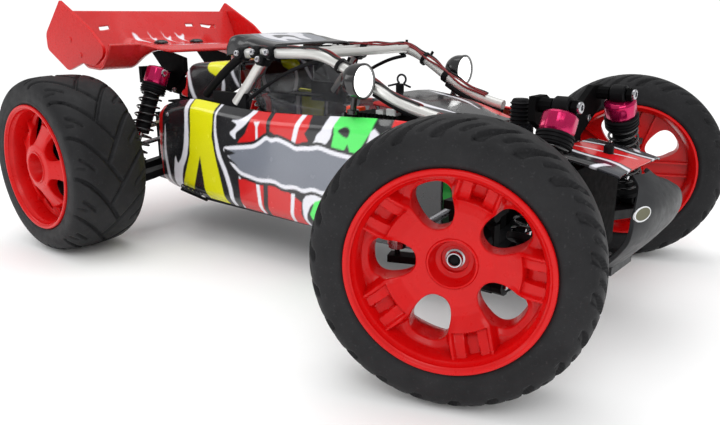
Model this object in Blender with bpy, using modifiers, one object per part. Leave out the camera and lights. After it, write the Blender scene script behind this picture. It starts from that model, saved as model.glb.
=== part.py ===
"""A 1:10 desert buggy, radio controlled, as an assembly of separate pieces.

+X is the way it drives, +Y is its left side and +Z is up. The ground is z = 0, and the origin is on
the ground in the middle of the overall length. Every dimension below is in millimetres, and MM turns
it into metres. Each piece is shaped in car coordinates with the front wheels straight, then given its
origin on its joint's axis. The steered pieces hang on empties that turn them to the resting lock.
"""

import math

import bmesh
import bpy
from mathutils import Matrix, Vector

MM = 0.001

# Driving dimensions
WHEELBASE = 291.0
FRONT_AXLE_X = 152.7
REAR_AXLE_X = FRONT_AXLE_X - WHEELBASE
TYRE_R = 56.0
RIM_R = 39.5
RIM_INSIDE = RIM_R - 4.3
FRONT_TYRE_W = 36.0
REAR_TYRE_W = 49.0
# Each wheel's dish and its back, as (radius, distance outboard of the tyre's middle) points.
FRONT_DISH = [(0.0, 1.5), (9.0, 1.5), (11.0, 4.5), (20.0, 4.8), (RIM_INSIDE, 13.0)]
FRONT_BACK = [(RIM_INSIDE, 4.5), (20.0, -0.5), (0.0, -0.5)]
REAR_DISH = [
    (0.0, 13.0), (8.2, 13.0), (8.4, 22.0), (10.2, 22.5), (14.0, 20.5), (RIM_INSIDE, 13.5),
]
REAR_BACK = [(RIM_INSIDE, 9.0), (14.0, 15.0), (10.5, 11.0), (0.0, 11.0)]
SPOKES = 5
WINDOW_AT = 25.0
WINDOW_R = 8.6
FRONT_HALF_TRACK = 128.5
REAR_HALF_TRACK = 131.0
STEER_AT_REST = math.radians(22.0)
GAP = 0.4

# Suspension: every link of a corner is the same vector, so that the corner is a parallelogram
ARM_INNER_Y = 22.0
ARM_OUTER_Y = 80.0
ARM_DROP = 7.0
LOWER_INNER_Z = 45.0
UPPER_INNER_Z = 75.0
ARM_SPAN = ARM_OUTER_Y - ARM_INNER_Y
LOWER_OUTER_Z = LOWER_INNER_Z - ARM_DROP
UPPER_OUTER_Z = UPPER_INNER_Z - ARM_DROP
ARM_BARREL_HALF = 15.0
ARM_BARREL_R = 3.5
KINGPIN_Y = 93.5
REAR_JOINT_Y = 90.0

# Steering
STEER_ARM = 27.0
TIE_ROD_R = 1.9
TIE_PIN_R = 1.1
TIE_EYE_R, TIE_BORE_R, TIE_EYE_HALF = 3.8, 2.4, 2.5
HORN_Z = 60.5
LINK_Z = 67.0
HORN_X = FRONT_AXLE_X - 32.0
HORN_Y = 16.0

# Shock absorbers: (distance ahead of the axle, top y, top z, lower y)
FRONT_SHOCK = (12.5, 33.5, 108.0, 65.0)
REAR_SHOCK = (11.5, 42.0, 110.0, 70.0)
REAR_LINK_X = -2.0
SHOCK_EYE_LIFT = 7.0
SHOCK_EYE_R = 4.5
SHOCK_PIN_R = 2.0
SHOCK_EYE_HALF = 4.0
SPRING_R = 7.3
SPRING_WIRE_R = 0.85
SPRING_TURNS = 5.5

# Chassis and body
PLATE_Z0, PLATE_Z1 = 28.0, 31.0
BULKHEAD_HALF = 15.5
BULKHEAD_TOP = 79.0
SIDE_Y = 53.0
SHEET = 1.5
RAIL_R = 2.8
LAMP_X, LAMP_Y, LAMP_Z, LAMP_R = FRONT_AXLE_X - 93.0, 48.5, 114.5, 9.0
WING_Z = 128.0
WING_ARM_Y = 20.0
WING_END_Y = 73.0

BLACK = ("black_plastic", (0.03, 0.03, 0.033), 0.45, 0.0)
RED = ("red_plastic", (0.75, 0.03, 0.03), 0.3, 0.0)
RUBBER = ("tyre_rubber", (0.05, 0.05, 0.052), 0.8, 0.0)
STEEL = ("steel", (0.6, 0.6, 0.62), 0.3, 1.0)
SILVER = ("silver_tube", (0.72, 0.72, 0.72), 0.35, 0.6)
SHELL = ("printed_shell", (0.7, 0.05, 0.05), 0.35, 0.0)
PLATE = ("plate_aluminium", (0.12, 0.12, 0.13), 0.45, 0.8)
SPRING = ("spring_steel", (0.04, 0.04, 0.04), 0.4, 0.7)
CELL = ("battery_wrap", (0.1, 0.15, 0.5), 0.4, 0.0)
LAMP = ("lamp_plastic", (0.04, 0.04, 0.045), 0.3, 0.0)


def start_scene():
    for obj in list(bpy.data.objects):
        bpy.data.objects.remove(obj, do_unlink=True)
    parts = bpy.data.collections.new("rc_buggy")
    bpy.context.scene.collection.children.link(parts)
    return parts


PARTS = start_scene()


# ---------------------------------------------------------------- shapes
def link(name, data):
    obj = bpy.data.objects.new(name, data)
    PARTS.objects.link(obj)
    return obj


def mesh_object(name, bm):
    bmesh.ops.recalc_face_normals(bm, faces=bm.faces)
    mesh = bpy.data.meshes.new(name)
    bm.to_mesh(mesh)
    bm.free()
    return link(name, mesh)


def baked(obj):
    """The object as one plain mesh with its modifiers applied, its caps welded and its faces outwards."""
    graph = bpy.context.evaluated_depsgraph_get()
    graph.update()
    mesh = bpy.data.meshes.new_from_object(obj.evaluated_get(graph))
    made = bmesh.new()
    made.from_mesh(mesh)
    made.transform(obj.matrix_world)
    bmesh.ops.remove_doubles(made, verts=made.verts, dist=1e-6)
    bpy.data.meshes.remove(mesh)
    name = obj.name
    bpy.data.objects.remove(obj, do_unlink=True)
    return mesh_object(name, made)


def boolean(base, others, operation):
    for other in others:
        modifier = base.modifiers.new(operation, "BOOLEAN")
        modifier.operation = operation
        modifier.solver = "EXACT"
        modifier.object = other
        bpy.context.view_layer.update()
        name = base.name
        base = baked(base)
        base.name = name
        bpy.data.objects.remove(other, do_unlink=True)
    return base


def fuse(base, *others):
    return boolean(base, others, "UNION")


def cut(base, *cutters):
    return boolean(base, cutters, "DIFFERENCE")


def box(lo, hi, bevel=0.0):
    bm = bmesh.new()
    bmesh.ops.create_cube(bm, size=1.0)
    size = [(b - a) * MM for a, b in zip(lo, hi)]
    centre = [(a + b) / 2 * MM for a, b in zip(lo, hi)]
    bmesh.ops.scale(bm, vec=size, verts=bm.verts)
    bmesh.ops.translate(bm, vec=centre, verts=bm.verts)
    if bevel:
        bmesh.ops.bevel(bm, geom=bm.edges[:], offset=bevel * MM, segments=1, affect="EDGES")
    return mesh_object("box", bm)


def rod(a, b, radius, sides=10, end_radius=None):
    """A cylinder, or a cone, from point a to point b."""
    a, b = Vector(a) * MM, Vector(b) * MM
    bm = bmesh.new()
    top = radius if end_radius is None else end_radius
    bmesh.ops.create_cone(
        bm, cap_ends=True, segments=sides, radius1=radius * MM, radius2=top * MM, depth=(b - a).length
    )
    turn = Vector((0, 0, 1)).rotation_difference(b - a).to_matrix().to_4x4()
    bmesh.ops.transform(bm, matrix=Matrix.Translation((a + b) / 2) @ turn, verts=bm.verts)
    return mesh_object("rod", bm)


def ball(centre, radius, squash=(1.0, 1.0, 1.0), u=12, v=8):
    bm = bmesh.new()
    bmesh.ops.create_uvsphere(bm, u_segments=u, v_segments=v, radius=radius * MM)
    bmesh.ops.scale(bm, vec=squash, verts=bm.verts)
    bmesh.ops.translate(bm, vec=Vector(centre) * MM, verts=bm.verts)
    return mesh_object("ball", bm)


def tube(points, radius, resolution=1):
    """A round wire along the points, capped at both ends."""
    curve = bpy.data.curves.new("tube", "CURVE")
    curve.dimensions = "3D"
    curve.bevel_depth = radius * MM
    curve.bevel_resolution = resolution
    curve.use_fill_caps = True
    spline = curve.splines.new("POLY")
    spline.points.add(len(points) - 1)
    for slot, point in zip(spline.points, points):
        slot.co = (*(Vector(point) * MM), 1.0)
    return baked(link("tube", curve))


def slab(outline, thickness, matrix):
    """A flat outline of (u, v) points with a thickness, laid by the matrix from its own XY plane."""
    curve = bpy.data.curves.new("slab", "CURVE")
    curve.dimensions = "2D"
    curve.fill_mode = "BOTH"
    curve.extrude = thickness / 2 * MM
    spline = curve.splines.new("POLY")
    spline.points.add(len(outline) - 1)
    for slot, (u, v) in zip(spline.points, outline):
        slot.co = (u * MM, v * MM, 0.0, 1.0)
    spline.use_cyclic_u = True
    obj = link("slab", curve)
    obj.matrix_world = matrix
    bpy.context.view_layer.update()
    return baked(obj)


def turned(profile, centre, side, steps, closed):
    """A solid of revolution about the Y axis, from (radius, offset) points, offsets growing outboard."""
    bm = bmesh.new()
    points = [bm.verts.new((r * MM, 0.0, h * MM)) for r, h in profile]
    for a, b in zip(points, points[1:]):
        bm.edges.new((a, b))
    if closed:
        bm.edges.new((points[-1], points[0]))
    mesh = bpy.data.meshes.new("turned")
    bm.to_mesh(mesh)
    bm.free()
    obj = link("turned", mesh)
    screw = obj.modifiers.new("Screw", "SCREW")
    screw.steps = screw.render_steps = steps
    screw.use_merge_vertices = True
    screw.merge_threshold = 0.00001
    lay = Matrix.Rotation(-side * math.pi / 2, 4, "X")
    obj.matrix_world = Matrix.Translation(Vector(centre) * MM) @ lay
    bpy.context.view_layer.update()
    return baked(obj)


def sheet(rows, thickness, inwards=True):
    """A thin shell through rows of points, all rows the same length, thickened to one side."""
    bm = bmesh.new()
    grid = [[bm.verts.new(Vector(p) * MM) for p in row] for row in rows]
    for one, two in zip(grid, grid[1:]):
        for k in range(len(one) - 1):
            bm.faces.new((one[k], one[k + 1], two[k + 1], two[k]))
    obj = mesh_object("sheet", bm)
    solid = obj.modifiers.new("Solidify", "SOLIDIFY")
    solid.thickness = thickness * MM
    solid.offset = -1.0 if inwards else 1.0
    solid.use_even_offset = True
    bpy.context.view_layer.update()
    return baked(obj)


# ---------------------------------------------------------------- placing
def material(kind):
    name, colour, roughness, metallic = kind
    found = bpy.data.materials.get(name)
    if found:
        return found
    made = bpy.data.materials.new(name)
    made.use_nodes = True
    shader = made.node_tree.nodes["Principled BSDF"]
    shader.inputs["Base Color"].default_value = (*colour, 1.0)
    shader.inputs["Roughness"].default_value = roughness
    shader.inputs["Metallic"].default_value = metallic
    return made


def name_part(obj, name, kind, origin=(0.0, 0.0, 0.0), parent=None):
    """Names the finished piece, gives it its material and moves its origin onto its joint's axis."""
    obj.name = name
    obj.data.name = name
    obj.data.materials.clear()
    obj.data.materials.append(material(kind))
    point = Vector(origin) * MM
    obj.data.transform(Matrix.Translation(-point))
    obj.location = point
    if parent:
        obj.parent = parent
        obj.location = point - parent.location
    obj.data.shade_smooth()
    obj.data.set_sharp_from_angle(angle=math.radians(35))
    return obj


def pivot(name, point, turn=0.0):
    empty = link(name, None)
    empty.location = Vector(point) * MM
    empty.rotation_euler = (0.0, 0.0, turn)
    return empty


def steered(point, about):
    """Where a point of a steered piece rests, turned about a vertical axis through the point about."""
    offset = Matrix.Rotation(STEER_AT_REST, 3, "Z") @ (Vector(point) - Vector(about))
    return Vector(about) + offset


# ---------------------------------------------------------------- wheels
def tyre(half):
    """Half the tyre's outline from the tread's middle down to the bead, mirrored to the other side."""
    outer = [
        (TYRE_R, half * 0.55), (TYRE_R - 4.0, half * 0.9), (TYRE_R - 11.0, half),
        (RIM_R + 1.2, half - 0.6),
    ]
    inner = [(RIM_R + GAP, half - 2.4), (RIM_R - 2.3 + GAP, half - 5.0)]
    upper = outer + inner
    lower = [(r, -h) for r, h in reversed(upper)]
    return [*reversed(lower), *reversed(upper)]


def rim_profile(half, dish, back):
    """The barrel with its two lips between the dish and its back, as one closed outline."""
    barrel = RIM_R - 2.3
    return [
        *dish, (RIM_INSIDE, half - 2.0), (RIM_R - 1.0, half), (RIM_R, half - 2.4),
        (barrel, half - 5.0), (barrel, -half + 5.0),
        (RIM_R, -half + 2.4), (RIM_R - 1.0, -half), (RIM_INSIDE, -half), *back,
    ]


def wheel(prefix, side, x, half, mid_y, hub_y, dish, back, parent=None):
    """A rim with its stub axle, drive hexagon and nut, and a tyre, all turning about one axis."""
    y = side * mid_y
    centre = (x, y, TYRE_R)
    floor = dish[0][1]
    rim = turned(rim_profile(half, dish, back), centre, side, 24, False)
    windows = []
    for k in range(SPOKES):
        angle = math.radians(360 / SPOKES * (k + 0.5))
        wx, wz = x + WINDOW_AT * math.cos(angle), TYRE_R + WINDOW_AT * math.sin(angle)
        windows.append(rod((wx, y - side * half, wz), (wx, y + side * (half + 5), wz), WINDOW_R))
    rim = cut(rim, *windows)
    inboard = side * (hub_y - 5.0)
    outboard = y + side * (floor + 3.5)
    rim = fuse(
        rim,
        rod((x, inboard, TYRE_R), (x, outboard, TYRE_R), 3.0),
        rod((x, side * (hub_y + 10.6), TYRE_R), (x, y + side * (floor - 1.0), TYRE_R), 6.6, 6),
        rod((x, y + side * (floor - 0.5), TYRE_R), (x, y + side * (floor + 2.0), TYRE_R), 4.4, 6),
    )
    origin = (x, y, TYRE_R)
    name_part(rim, f"{prefix}_wheel_rim", RED, origin, parent)
    rubber = turned(tyre(half), centre, side, 24, True)
    name_part(rubber, f"{prefix}_tyre", RUBBER, origin, parent)


# ---------------------------------------------------------------- suspension
def along(fraction, inner_y, inner_z, x, side):
    """A point on a link of the parallelogram, 0 at its inner joint and 1 at its outer one."""
    return (x, side * (inner_y + ARM_SPAN * fraction), inner_z - ARM_DROP * fraction)


def link_plane(side, x, inner_z):
    """The matrix that lays a flat outline in a link's own sloping plane, u along X and v outboard."""
    v = Vector((0, side * ARM_SPAN, -ARM_DROP)).normalized()
    u = Vector((1, 0, 0))
    w = u.cross(v)
    basis = Matrix((u, v, w)).transposed().to_4x4()
    return Matrix.Translation(Vector((x, side * ARM_INNER_Y, inner_z)) * MM) @ basis


def lower_arm(prefix, side, x, shock):
    """A flat wishbone with a hinge barrel inboard, two ears outboard and a lug for the shock."""
    span = math.hypot(ARM_SPAN, ARM_DROP)
    plane = link_plane(side, x, LOWER_INNER_Z)
    wide = shock[0] + 6.0
    foot = shock[3] - ARM_INNER_Y
    arm = slab(
        [(-15, 0), (15, 0), (15, 9), (wide, foot - 12), (wide, foot + 6), (13.5, span), (9, span),
         (9, span - 9), (-9, span - 9), (-9, span), (-13.5, span)],
        5.0, plane,
    )
    hole = slab([(-8, 10), (8, 10), (6, span - 18), (-6, span - 18)], 12.0, plane)
    arm = cut(arm, hole)
    outer = along(1.0, ARM_INNER_Y, LOWER_INNER_Z, x, side)
    lug_x = x + shock[0]
    eye = lower_eye(side, x, shock)
    arm = fuse(
        arm,
        rod((x - 15, side * ARM_INNER_Y, LOWER_INNER_Z), (x + 15, side * ARM_INNER_Y, LOWER_INNER_Z),
            ARM_BARREL_R),
        rod((x - 13.5, outer[1], outer[2]), (x - 8.8, outer[1], outer[2]), 4.0),
        rod((x + 8.8, outer[1], outer[2]), (x + 13.5, outer[1], outer[2]), 4.0),
    )
    arm = fuse(
        arm,
        box((lug_x - 6.4, eye[1] - 3, eye[2] - 9), (lug_x - 4.4, eye[1] + 3, eye[2] + 3)),
        box((lug_x + 4.4, eye[1] - 3, eye[2] - 9), (lug_x + 6.4, eye[1] + 3, eye[2] + 3)),
        rod((lug_x - 5, eye[1], eye[2]), (lug_x + 5, eye[1], eye[2]), SHOCK_PIN_R),
    )
    name_part(arm, f"{prefix}_lower_arm", BLACK, (x, side * ARM_INNER_Y, LOWER_INNER_Z))


def upper_wishbone(prefix, side, x):
    """The front upper link, from its hinge barrel to a fork at the hub, kept behind the shock absorber."""
    inner = (x, side * ARM_INNER_Y, UPPER_INNER_Z)
    outer = along(1.0, ARM_INNER_Y, UPPER_INNER_Z, x, side)
    span = math.hypot(ARM_SPAN, ARM_DROP)
    plane = link_plane(side, x, UPPER_INNER_Z)
    arm = slab(
        [(-14, 0), (2, 0), (2, 45), (8.4, 49), (8.4, span), (5.0, span), (5.0, span - 8), (-5.0, span - 8),
         (-5.0, span), (-8.4, span), (-8.4, 44)],
        3.6, plane,
    )
    arm = cut(arm, slab([(-9, 8), (-3, 8), (-2, span - 18), (-5, span - 18)], 12.0, plane))
    arm = fuse(
        arm,
        rod((x - 15, inner[1], inner[2]), (x + 15, inner[1], inner[2]), ARM_BARREL_R),
        rod((x - 8.4, outer[1], outer[2]), (x - 4.8, outer[1], outer[2]), 3.2),
        rod((x + 4.8, outer[1], outer[2]), (x + 8.4, outer[1], outer[2]), 3.2),
    )
    name_part(arm, f"{prefix}_upper_arm", BLACK, inner)


def turnbuckle(prefix, side, x):
    """The rear upper link: a steel rod with a hexagon in its middle and an eye at each end."""
    x += REAR_LINK_X
    inner = (x, side * ARM_INNER_Y, UPPER_INNER_Z)
    outer = along(1.0, ARM_INNER_Y, UPPER_INNER_Z, x, side)
    near = along(0.42, ARM_INNER_Y, UPPER_INNER_Z, x, side)
    far = along(0.58, ARM_INNER_Y, UPPER_INNER_Z, x, side)
    shaft = fuse(
        rod(inner, outer, 1.9),
        rod(near, far, 3.0, 6),
        rod((x - 3.5, inner[1], inner[2]), (x + 3.5, inner[1], inner[2]), 3.8),
        rod((x - 3.5, outer[1], outer[2]), (x + 3.5, outer[1], outer[2]), 3.8),
    )
    name_part(shaft, f"{prefix}_upper_link", STEEL, inner)


def shock_ends(side, x, shock):
    """The centres of a shock absorber's upper and lower eyes."""
    ahead, top_y, top_z, low_y = shock
    return Vector((x + ahead, side * top_y, top_z)), Vector(lower_eye(side, x, shock))


def lower_eye(side, x, shock):
    fraction = (shock[3] - ARM_INNER_Y) / ARM_SPAN
    point = along(fraction, ARM_INNER_Y, LOWER_INNER_Z, x + shock[0], side)
    return (point[0], point[1], point[2] + SHOCK_EYE_LIFT)


def shock_absorber(prefix, side, x, shock):
    """A bored body that hangs on the tower, a rod with a spring cup that stands on the arm, and a coil."""
    top, low = shock_ends(side, x, shock)
    down = (low - top).normalized()
    length = (low - top).length
    cup = length - 9.0

    def at(distance):
        return top + down * distance

    half = Vector((SHOCK_EYE_HALF, 0, 0))
    body = fuse(
        rod(at(4.0), at(16.0), 8.0, 12),
        rod(top - half, top + half, SHOCK_EYE_R),
        rod(at(15.0), at(18.5), 8.6, 12),
        rod(at(17.0), at(43.0), 5.4, 12),
    )
    body = cut(
        body,
        rod(at(20.0), at(48.0), 2.4),
        rod(top - half * 1.5, top + half * 1.5, SHOCK_PIN_R + GAP),
    )
    name_part(body, f"{prefix}_shock_body", BLACK, top)
    shaft = fuse(
        rod(at(37.0), at(length), 1.5),
        rod(at(cup), at(cup + 3.0), 8.6, 12),
        rod(at(cup + 2.0), at(length - 1.0), 3.2),
        rod(low - half, low + half, SHOCK_EYE_R - 0.3),
    )
    shaft = cut(shaft, rod(low - half * 1.5, low + half * 1.5, SHOCK_PIN_R + GAP))
    name_part(shaft, f"{prefix}_shock_rod", STEEL, low)

    start = 18.5 + SPRING_WIRE_R + GAP
    end = cup - SPRING_WIRE_R - GAP
    across = Vector((1, 0, 0))
    other = down.cross(across)
    per_turn = 7
    count = int(SPRING_TURNS * per_turn)
    coil = []
    for k in range(count + 1):
        angle = 2 * math.pi * k / per_turn
        ring = across * math.cos(angle) + other * math.sin(angle)
        coil.append(at(start + (end - start) * k / count) + ring * SPRING_R)
    name_part(tube(coil, SPRING_WIRE_R, 0), f"{prefix}_spring", SPRING, at(start))


def drive_shaft(prefix, side, x, outer_y):
    """A shaft with a ball at each joint, from the gear case to the stub axle."""
    inner_y = outer_y - ARM_SPAN
    inner = (x, side * inner_y, TYRE_R + ARM_DROP)
    outer = (x, side * outer_y, TYRE_R)
    direction = (Vector(outer) - Vector(inner)).normalized()
    stop = Vector(outer) - direction * 10.5
    shaft = fuse(rod(inner, stop, 2.2), ball(inner, 4.2, u=10, v=6), ball(stop, 3.4, u=10, v=6))
    name_part(shaft, f"{prefix}_drive_shaft", STEEL, inner)


# ---------------------------------------------------------------- hubs
def caster_block(prefix, side, x):
    """The C-shaped block that hangs on both arms and carries the kingpin of the steering knuckle."""
    inner, outer = 77.0, 81.5
    y0, y1 = sorted((side * inner, side * outer))
    f0, f1 = sorted((side * inner, side * (KINGPIN_Y + 5)))
    block = box((x - 8, y0, 34), (x + 8, y1, 76))
    block = fuse(
        block,
        box((x - 6, f0, 39.0), (x + 6, f1, 42.5)),
        box((x - 6, f0, 72.4), (x + 6, f1, 76)),
        rod((x - 8.4, side * ARM_OUTER_Y, LOWER_OUTER_Z),
            (x + 8.4, side * ARM_OUTER_Y, LOWER_OUTER_Z), 4.0),
        rod((x, side * KINGPIN_Y, 41), (x, side * KINGPIN_Y, 45.5), 2.4),
        rod((x, side * KINGPIN_Y, 69.5), (x, side * KINGPIN_Y, 74), 2.4),
    )
    window = rod((x, side * 70, TYRE_R + 0.5), (x, side * 86, TYRE_R + 0.5), 7.6, 12)
    notches = [
        box((x + s * 6.5 - 2.1, min(side * 75, side * 85), UPPER_OUTER_Z - 4.5),
            (x + s * 6.5 + 2.1, max(side * 75, side * 85), 80)) for s in (-1, 1)
    ]
    block = cut(block, window, *notches)
    name_part(block, f"{prefix}_caster_block", BLACK, (x, side * ARM_OUTER_Y, LOWER_OUTER_Z))


def knuckle(prefix, side, x, parent):
    """The steering knuckle: a bored bearing boss between the kingpins, with an arm to the rear."""
    y = side * KINGPIN_Y
    plate_z = TYRE_R - 5.5
    body = fuse(
        rod((x, y - side * 3.6, TYRE_R), (x, y + side * 10, TYRE_R), 7.6, 12),
        box((x - 5, y - 3.4, 43.2), (x + 5, y + 3.4, 71.6)),
        box((x - STEER_ARM - 3.5, y - 3.2, plate_z - 3), (x - 4, y + 3.2, plate_z)),
        rod((x - STEER_ARM, y, plate_z - 1), (x - STEER_ARM, y, TYRE_R + 3), TIE_PIN_R),
    )
    body = cut(
        body,
        rod((x, y - side * 12, TYRE_R), (x, y + side * 14, TYRE_R), 3.4, 12),
        rod((x, y, 40), (x, y, 46.5), 2.8),
        rod((x, y, 68.5), (x, y, 76), 2.8),
    )
    name_part(body, f"{prefix}_steering_knuckle", BLACK, (x, y, TYRE_R), parent)


def hub_carrier(prefix, side, x):
    """The rear hub: a bored boss on a block, hinged to the lower arm, with ears for the upper link."""
    y0, y1 = sorted((side * 77.0, side * 84.0))
    block = fuse(
        box((x - 11.5, y0, 43), (x + 8, y1, 64)),
        box((x - 7.6, y0 + 0.4, 34), (x + 7.6, y1 - 0.4, 46)),
        rod((x - 8.4, side * ARM_OUTER_Y, LOWER_OUTER_Z),
            (x + 8.4, side * ARM_OUTER_Y, LOWER_OUTER_Z), 4.0),
        rod((x, side * 77, TYRE_R), (x, side * 98, TYRE_R), 8.0, 12),
        box((x + REAR_LINK_X - 7.5, y0 + 0.7, 60), (x + REAR_LINK_X - 4.2, y1 - 0.7, 72)),
        box((x + REAR_LINK_X + 4.2, y0 + 0.7, 60), (x + REAR_LINK_X + 7.5, y1 - 0.7, 72)),
    )
    block = cut(
        block,
        rod((x, side * 83, TYRE_R), (x, side * 110, TYRE_R), 3.4, 12),
        rod((x, side * 70, TYRE_R + 0.5), (x, side * 84.2, TYRE_R + 0.5), 6.0, 12),
    )
    name_part(block, f"{prefix}_hub_carrier", BLACK, (x, side * ARM_OUTER_Y, LOWER_OUTER_Z))


# ---------------------------------------------------------------- chassis
def bulkhead(x, shock, tower_x, stem_top):
    """A case between the two plates that carry the arms' hinges, with the shock tower on top."""
    half = BULKHEAD_HALF
    z0, z1 = PLATE_Z1 + GAP, BULKHEAD_TOP
    case = box((x - half - 0.5, -17, z0), (x + half + 0.5, 17, z1 - 1))
    case = fuse(
        case,
        box((x - half - 3, -27, z0), (x - half, 27, z1)),
        box((x + half, -27, z0), (x + half + 3, 27, z1)),
    )
    top_y, top_z = shock[1], shock[2]
    reach = top_y + 5
    outline = [
        (-15, z1 - 6), (15, z1 - 6), (15, stem_top),
        (reach, top_z - 7), (reach, top_z + 4), (top_y - 6, top_z + 4),
        (9, top_z - 6), (-9, top_z - 6), (6 - top_y, top_z + 4), (-reach, top_z + 4), (-reach, top_z - 7),
        (-15, stem_top),
    ]
    basis = Matrix(((0, 0, 1, 0), (1, 0, 0, 0), (0, 1, 0, 0), (0, 0, 0, 1)))
    tower = slab(outline, 3.4, Matrix.Translation(Vector((tower_x, 0, 0)) * MM) @ basis)
    case = fuse(case, tower)
    pin_x = x + shock[0]
    for side in (-1, 1):
        case = fuse(
            case,
            rod((tower_x, side * top_y, top_z), (pin_x + 6.5, side * top_y, top_z), SHOCK_PIN_R),
            rod((pin_x + 4.6, side * top_y, top_z), (pin_x + 7.0, side * top_y, top_z), 3.6, 6),
            rod((tower_x + 1.0, side * top_y, top_z), (pin_x - 4.6, side * top_y, top_z), 3.4),
        )
    return case


def front_bulkhead():
    name_part(bulkhead(FRONT_AXLE_X, FRONT_SHOCK, FRONT_AXLE_X, 88.0), "front_bulkhead", BLACK)


def rear_gear_case():
    """The gear case with its two output cups, the rear tower and the two arms that hold the wing."""
    x, z = REAR_AXLE_X, TYRE_R + ARM_DROP
    case = bulkhead(x, REAR_SHOCK, x + REAR_LINK_X, 92.0)
    ball_y = REAR_JOINT_Y - ARM_SPAN
    for side in (-1, 1):
        case = fuse(case, rod((x, side * 15, z), (x, side * (ball_y + 2), z), 6.6, 12))
    for side in (-1, 1):
        case = cut(case, rod((x, side * (ball_y - 6), z), (x, side * (ball_y + 8), z), 4.9, 12))
    upright = Matrix(((1, 0, 0, 0), (0, 0, 1, 0), (0, 1, 0, 0), (0, 0, 0, 1)))
    for side in (-1, 1):
        arm = slab(
            [(x - 28, WING_Z - 2.7), (x - 16, WING_Z - 2.7), (x + 14, 119), (x + 14, 109), (x + 3, 100),
             (x - 4, 97), (x - 14, 112)],
            3.0, Matrix.Translation(Vector((0, side * WING_ARM_Y, 0)) * MM) @ upright,
        )
        case = fuse(case, arm)
    name_part(case, "rear_gear_case", BLACK)


def chassis_plate():
    """The flat main plate that everything bolts to, waisted where the front wheels steer."""
    front, rear = FRONT_AXLE_X, REAR_AXLE_X
    outline = [
        (front + 23.5, -16), (front + 23.5, 12), (front - 24, 22), (front - 62, 42), (front - 92, 45),
        (rear + 60, 45), (rear + 34, 30), (rear - 24, 24), (rear - 24, -24), (rear + 34, -30),
        (rear + 60, -45), (front - 92, -45), (front - 62, -42), (front - 24, -22),
    ]
    middle = Vector((0, 0, (PLATE_Z0 + PLATE_Z1) / 2))
    plate = slab(outline, PLATE_Z1 - PLATE_Z0, Matrix.Translation(middle * MM))
    name_part(plate, "chassis_plate", PLATE)


def front_bumper():
    """The skid shield that rises from the chassis plate, with a tongue that curls back to the nose."""
    stations = [
        (28, PLATE_Z0 + 0.2, 15), (34, 33, 20), (43, 43, 29), (50, 54, 35), (52, 63, 36),
        (50, 69, 33), (48, 71, 13), (40, 75, 9),
    ]
    rows = []
    for ahead, z, half in stations:
        x = FRONT_AXLE_X + ahead
        rows.append([(x - 3.5 * abs(t) ** 3, half * t, z) for t in (-1, -0.6, -0.2, 0.2, 0.6, 1)])
    shield = sheet(rows, 2.4, inwards=False)
    foot = box((FRONT_AXLE_X + 26.6, -13, PLATE_Z0 + 0.2), (FRONT_AXLE_X + 33, 13, PLATE_Z1 + 0.6))
    name_part(fuse(shield, foot), "front_bumper", BLACK)


def inner_units():
    """The battery, the motor and the steering servo, which fill the tub."""
    x0 = FRONT_AXLE_X - 205
    z0 = PLATE_Z1 + GAP
    name_part(box((x0, -44, z0), (x0 + 118, -8, z0 + 24), 2.0), "battery_pack", CELL)
    motor_z = 50.0
    motor = fuse(
        rod((REAR_AXLE_X + 24, 26, motor_z), (REAR_AXLE_X + 72, 26, motor_z), 17.5, 20),
        rod((REAR_AXLE_X + 71, 26, motor_z), (REAR_AXLE_X + 76, 26, motor_z), 6.5),
    )
    name_part(motor, "motor", STEEL)
    servo = fuse(
        box((HORN_X - 20, HORN_Y - 9.5, z0), (HORN_X + 9, HORN_Y + 9.5, 58), 0.8),
        rod((HORN_X, HORN_Y, 57), (HORN_X, HORN_Y, 60), 5.0),
    )
    name_part(servo, "steering_servo", BLACK)


def control_box():
    """The receiver and speed control in one box, behind the front deck, with its switch on top."""
    x0, x1 = FRONT_AXLE_X - 120, FRONT_AXLE_X - 78
    button_x = x0 + 4.5
    case = box((x0, -33, 62), (x1, -12, 96), 1.2)
    case = fuse(case, rod((button_x, -28, 95), (button_x, -28, 98.5), 2.6))
    name_part(case, "control_box", BLACK)


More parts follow.
